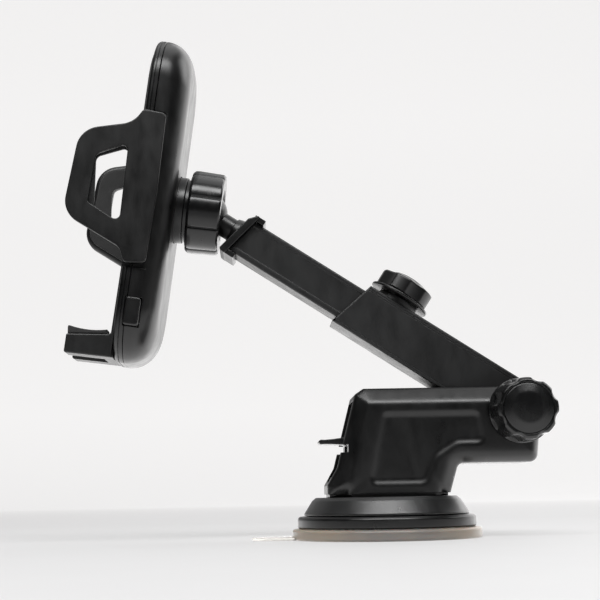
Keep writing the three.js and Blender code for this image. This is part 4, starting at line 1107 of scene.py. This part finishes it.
def back_shell():
    inner = shell_body(WALL)
    made = cut(shell_body(0), inner)
    bosses = at_screws(2.8, -22, -12)
    made = join(made, *[keep(boss, shell_body(0.0)) for boss in bosses])
    holes = at_screws(1.1, -23, -14.8, 24) + [rod(13, -20, 0, "x", 96)]
    holes += [moved(rod(1.05, -14, -11.3, "x", 24), (0, y, z)) for y, z in socket_screw_places()]
    made = cut(made, *holes, *side_openings(-1), *side_openings(1))
    place(made, "back_shell_moulded", CRADLE, "cradle", SATIN, "back_shell")


def front_cover():
    """The front cover: rolled front edge, a fine groove behind it and a hollow back."""
    rim = SEAM - 0.2
    roll = 1.8
    levels = [(roll * (1 - y), FRONT + roll * (1 + x)) for x, y in arc(1, 180, 90, 8)]
    levels += [(0.0, FRONT + 1.84), (0.35, FRONT + 1.88), (0.35, FRONT + 2.12), (0.0, FRONT + 2.16)]
    levels += [(0.0, rim - 0.25), (0.2, rim)]
    made = stacked([head_outline(0)], levels, FACE)
    inside = plate(head_outline(WALL), FRONT + 1.8, rim + 1, 0, FACE)
    made = cut(made, inside)
    made = join(made, rod(3, FRONT + 1, rim - 0.6, "x"), *at_screws(2.8, FRONT + 1, rim))
    holes = [rod(1.45, FRONT + 0.6, 0, "x", 24), block((FRONT - 1, FRONT + 3), (-4.3, 4.3), (-56, -29.5))]
    holes += at_screws(1.2, FRONT - 1, 0, 24) + at_screws(2.2, FRONT - 1, FRONT + 1.1)
    made = cut(made, *holes, *side_openings(-1), *side_openings(1))
    place(made, "front_cover_moulded", CRADLE, "cradle", SATIN, "front_cover")


def front_pad():
    """The soft pad behind the phone, with shallow cross ribs inside a plain border."""
    outline = fillet([(-22, -23.5, 2), (22, -23.5, 2), (22, 58.6, 15), (-22, 58.6, 15)], 12)
    made = plate(outline, FRONT - 0.75, FRONT - 0.15, 0.22, FACE)
    grooves = []
    for k in range(11):
        z = -16 + 6.6 * k
        half = 18 if z < 46 else 14
        grooves.append(block((FRONT - 1, FRONT - 0.6), (-half, half), (z - 0.5, z + 0.5)))
    place(cut(made, *grooves), "front_pad_soft", CRADLE, "cradle", RUBBER, "front_pad")


CLAW_OUTLINE = fillet([
    (-25.4, 29.9, 1.9), (-28.5, 24.3, 9), (-47.4, 19.4, 9), (-49.2, -12.3, 9), (-27, -22.5, 5),
    (-24.8, -27.8, 1.9), (-17, -27, 1.9), (-16.4, 0, 9), (-17, 29.2, 1.9),
], 10)
CLAW_WINDOW = fillet([(-40.1, 10.9, 2.5), (-29.2, 16.2, 1.8), (-28.4, -13.4, 1.8), (-40.6, -7.3, 1.5)])


def claw_plate():
    """The near claw's side plate, crisp outside and rolled inside, without the arms."""
    return plate(CLAW_OUTLINE, -CLAW_OUTER, -CLAW_INNER, 0.4, holes=[CLAW_WINDOW], high_edge=1.8)


def rack_teeth():
    """The teeth under the near claw's rack."""
    pitch = 2 * math.pi * 4.2 / 12
    teeth = []
    for k in range(11):
        y = (k - 1) * pitch
        shape = [(y - 0.62, 5.0), (y - 0.3, 3.65), (y + 0.3, 3.65), (y + 0.62, 5.0)]
        teeth.append(plate([Vector(p) for p in shape], *RACK_X, 0, FACE))
    return teeth


def claw_arms():
    return [
        block(RACK_X, (-CLAW_INNER - 0.5, 21), RACK_Z, 0.2),
        block(RACK_X, (-CLAW_INNER - 0.5, -6), GUIDE_Z, 0.2),
    ]


def claws():
    near = join(claw_plate(), *claw_arms(), *rack_teeth())
    place(near, "claw_near_moulded", CRADLE, "claw_near", SOFT_TOUCH, "claw_near")
    swap = Matrix.Rotation(math.pi, 4, "X")
    far = claw_plate()
    far = moved(far, turn=Matrix.Scale(-1, 4, (0, 1, 0)))
    far = join(far, *[moved(tool, turn=swap) for tool in claw_arms() + rack_teeth()])
    place(far, "claw_far_moulded", CRADLE, "claw_far", SOFT_TOUCH, "claw_far")


def claw_pads():
    """The soft lining inside each claw, with a rounded frame round the window."""
    shape = fillet([
        (-29, 21.9, 2), (-45.6, 17.4, 7), (-47.4, -11.2, 7), (-28.6, -19.7, 3), (-27, -10, 2), (-27, 16, 2),
    ])
    window = fillet([(-40.6, 10.5, 2.5), (-29, 15.6, 1.8), (-28.2, -13.2, 1.8), (-38.6, -8.6, 1.5)])
    outside = plate(shape, -CLAW_INNER + 0.15, -CLAW_INNER + 1.2, 0.3)
    near = cut(outside, plate(window, -40, 0))
    far = mirrored(near)
    place(near, "claw_pad_near_soft", CRADLE, "claw_near", RUBBER, "claw_pad_near")
    place(far, "claw_pad_far_soft", CRADLE, "claw_far", RUBBER, "claw_pad_far")


def release_buttons():
    """Each button: a soft-edged cap flush in the shell's side, and the finger inside."""
    cap = fillet([(x, z, 1.1) for x, z in ((-22.3, -49.8), (-16.8, -49.8), (-16.8, -39.6), (-22.3, -39.6))], 5)
    near = plate(cap, -26.9, -22.6, 0.6, high_edge=0.1)
    near = join(near, block((RACK_X[0] + 0.4, RACK_X[1] - 0.2), (-23, -8.2), (-46.5, -43)))
    far = mirrored(near)
    place(near, "release_button_near_cap", CRADLE, "button_near", SATIN, "release_button_near")
    place(far, "release_button_far_cap", CRADLE, "button_far", SATIN, "release_button_far")


def foot():
    """The sliding foot: a back plate with two toes and a gap for a cable between them."""
    inner = FRONT - 0.15
    side = fillet([
        (inner, -25), (FRONT - 1.7, -25, 1.2), (FRONT - 1.9, -52.4, 1), (-43.5, -54.1, 0.7), (-43.5, -61.1, 0.8),
        (inner, -61, 0.3),
    ], 8)
    made = plate(side, -15, 15, 0.6)
    gap = plate(fillet([(-6, -70), (6, -70), (6, -46, 4), (-6, -46, 4)]), -60, FRONT - 4, 0, FACE)
    tongue = block((FRONT - 0.5, FRONT + 2.1), (-4, 4), (-40, -30), 0.2)
    made = join(cut(made, gap), tongue)
    made = cut(made, moved(rod(1.1, FRONT - 1.2, FRONT + 4, "x", 24), (0, 0, -35)))
    place(made, "foot_moulded", CRADLE, "foot", MATT, "foot")


def toe_pads():
    """The soft caps on the toes, hollowed a little where the phone stands."""
    top = [(x, -51.7 + 0.8 * ((x + 36) / 7) ** 2) for x in (-29, -31, -33, -35, -37, -39, -41, -42.4)]
    shape = [Vector((-29, -52.35))] + [Vector(p) for p in top] + [
        Vector(p) for p in ((-43.0, -50.95), (-43.35, -51.2), (-43.35, -51.8), (-43.1, -53.85))
    ]
    near = plate(shape, -14.4, -6.6, 0.35)
    far = mirrored(near)
    place(near, "toe_pad_near_soft", CRADLE, "foot", RUBBER, "toe_pad_near")
    place(far, "toe_pad_far_soft", CRADLE, "foot", RUBBER, "toe_pad_far")


# ------------------------------------------------------------------ studio

FLOOR_GLOW, WALL_GLOW = 0.38, 0.78
DIM_MIRRORED, BRIGHT_MIRRORED = 0.03, 2.0


def backdrop():
    """A pale floor that sweeps up into a wall behind the object."""
    front, back, radius, top, half = -4.0, 1.6, 1.0, 4.0, 5.0
    line = [(front, 0.0)] + [(back + radius * math.sin(t), radius * (1 - math.cos(t)))
                             for t in (math.pi / 2 * k / 24 for k in range(25))] + [(back + radius, top)]
    points = [(x, y, z) for y, z in line for x in (-half, half)]
    faces = [(2 * k, 2 * k + 1, 2 * k + 3, 2 * k + 2) for k in range(len(line) - 1)]
    mesh = bpy.data.meshes.new("floor")
    mesh.from_pydata(points, [], faces)
    mesh.shade_smooth()
    made = bpy.data.objects.new("floor", mesh)
    bpy.context.scene.collection.objects.link(made)
    nodes = Nodes("paper", "floor")
    place_xyz = nodes.add("ShaderNodeSeparateXYZ", {"Vector": nodes.position}).outputs
    glow = nodes.spread(place_xyz["Y"], FLOOR_GLOW, WALL_GLOW, 0.3, 2.2)
    floor_mirrored = nodes.math("MULTIPLY", nodes.spread(place_xyz["Y"], 0, 1, -0.3, 0.15),
                                nodes.spread(place_xyz["X"], 0.25, 1, -0.4, -0.15))
    wall_mirrored = nodes.spread(place_xyz["X"], 0.12, 1, 0.0, 0.5)
    mirrored_glow = nodes.mixed(nodes.spread(place_xyz["Z"], 0, 1, 0.05, 0.2), floor_mirrored, wall_mirrored)
    mirrored_glow = nodes.spread(mirrored_glow, DIM_MIRRORED, BRIGHT_MIRRORED)
    glossy = nodes.add("ShaderNodeLightPath").outputs["Is Glossy Ray"]
    glow = nodes.mixed(glossy, glow, mirrored_glow)
    nodes.set(Base_Color=(0.28, 0.28, 0.283, 1), Roughness=nodes.spread(nodes.noise(30, 2), 0.7, 0.8))
    nodes.set(Emission_Color=(1.0, 0.99, 0.985, 1), Emission_Strength=glow)
    mesh.materials.append(nodes.material)


def area_light(name, at, target, size, power, colour=(1, 1, 1)):
    light = bpy.data.lights.new(name, "AREA")
    light.shape = "RECTANGLE"
    light.size, light.size_y = size
    light.energy = power
    light.color = colour
    made = bpy.data.objects.new(name, light)
    made.location = at
    made.rotation_euler = (Vector(target) - Vector(at)).to_track_quat("-Z", "Y").to_euler()
    bpy.context.scene.collection.objects.link(made)


def surroundings(front, back_glow, top_glow):
    """A white studio: bright behind the object, softer above, dim to the sides and in front."""
    world = bpy.data.worlds.new("studio")
    bpy.context.scene.world = world
    world.use_nodes = True
    tree = world.node_tree
    sky = tree.nodes["Background"]
    where = tree.nodes.new("ShaderNodeTexCoord").outputs["Generated"]
    split = tree.nodes.new("ShaderNodeSeparateXYZ")
    tree.links.new(where, split.inputs[0])

    def ramp(value, start, end, low, high):
        node = tree.nodes.new("ShaderNodeMapRange")
        node.interpolation_type = "SMOOTHSTEP"
        tree.links.new(value, node.inputs["Value"])
        for key, number in zip(("From Min", "From Max", "To Min", "To Max"), (start, end, low, high)):
            node.inputs[key].default_value = number
        return node.outputs["Result"]

    total = tree.nodes.new("ShaderNodeMath")
    tree.links.new(ramp(split.outputs["Y"], 0.25, 0.7, front, back_glow), total.inputs[0])
    tree.links.new(ramp(split.outputs["Z"], 0.45, 0.9, 0.0, top_glow), total.inputs[1])
    tree.links.new(total.outputs["Value"], sky.inputs["Strength"])
    sky.inputs["Color"].default_value = (1, 1, 1, 1)


def camera():
    """The photograph's view: low, in front, looking a little up."""
    data = bpy.data.cameras.new("camera")
    data.lens = 71.2
    data.sensor_width = 36
    data.clip_start = 0.01
    made = bpy.data.objects.new("camera", data)
    pitch, yaw, roll = (math.radians(a) for a in (9.33, 2.14, 1.1))
    turn = Matrix.Rotation(-yaw, 4, "Z") @ Matrix.Rotation(math.pi / 2 + pitch, 4, "X")
    turn = turn @ Matrix.Rotation(-roll, 4, "Z")
    made.matrix_world = Matrix.Translation((-0.04733, -0.44676, 0.01638)) @ turn
    bpy.context.scene.collection.objects.link(made)
    bpy.context.scene.camera = made


for build in (
    gel_pad, base_disc, base_ring, housing, lock_lever, outer_tube, inner_tube, end_cap, ball_stud,
    thumb_knob, pivot_knob, pivot_bolt, ball_nut, ball_socket, back_shell, front_cover, front_pad,
    claws, claw_pads, release_buttons, foot, toe_pads, screws,
):
    build()

backdrop()
surroundings(0.012, 0.9, 0.15)
area_light("top", (0.0, 0.1, 1.2), (0, 0, 0.1), (1.0, 0.8), 3)
area_light("front", (-0.05, -0.72, 0.98), (0, 0, 0.02), (1.3, 0.35), 17)
area_light("right", (1.0, 0.35, 0.8), (0, 0, 0.1), (0.5, 0.7), 4)
camera()
bpy.context.scene.view_settings.view_transform = "Standard"
bpy.context.view_layer.update()
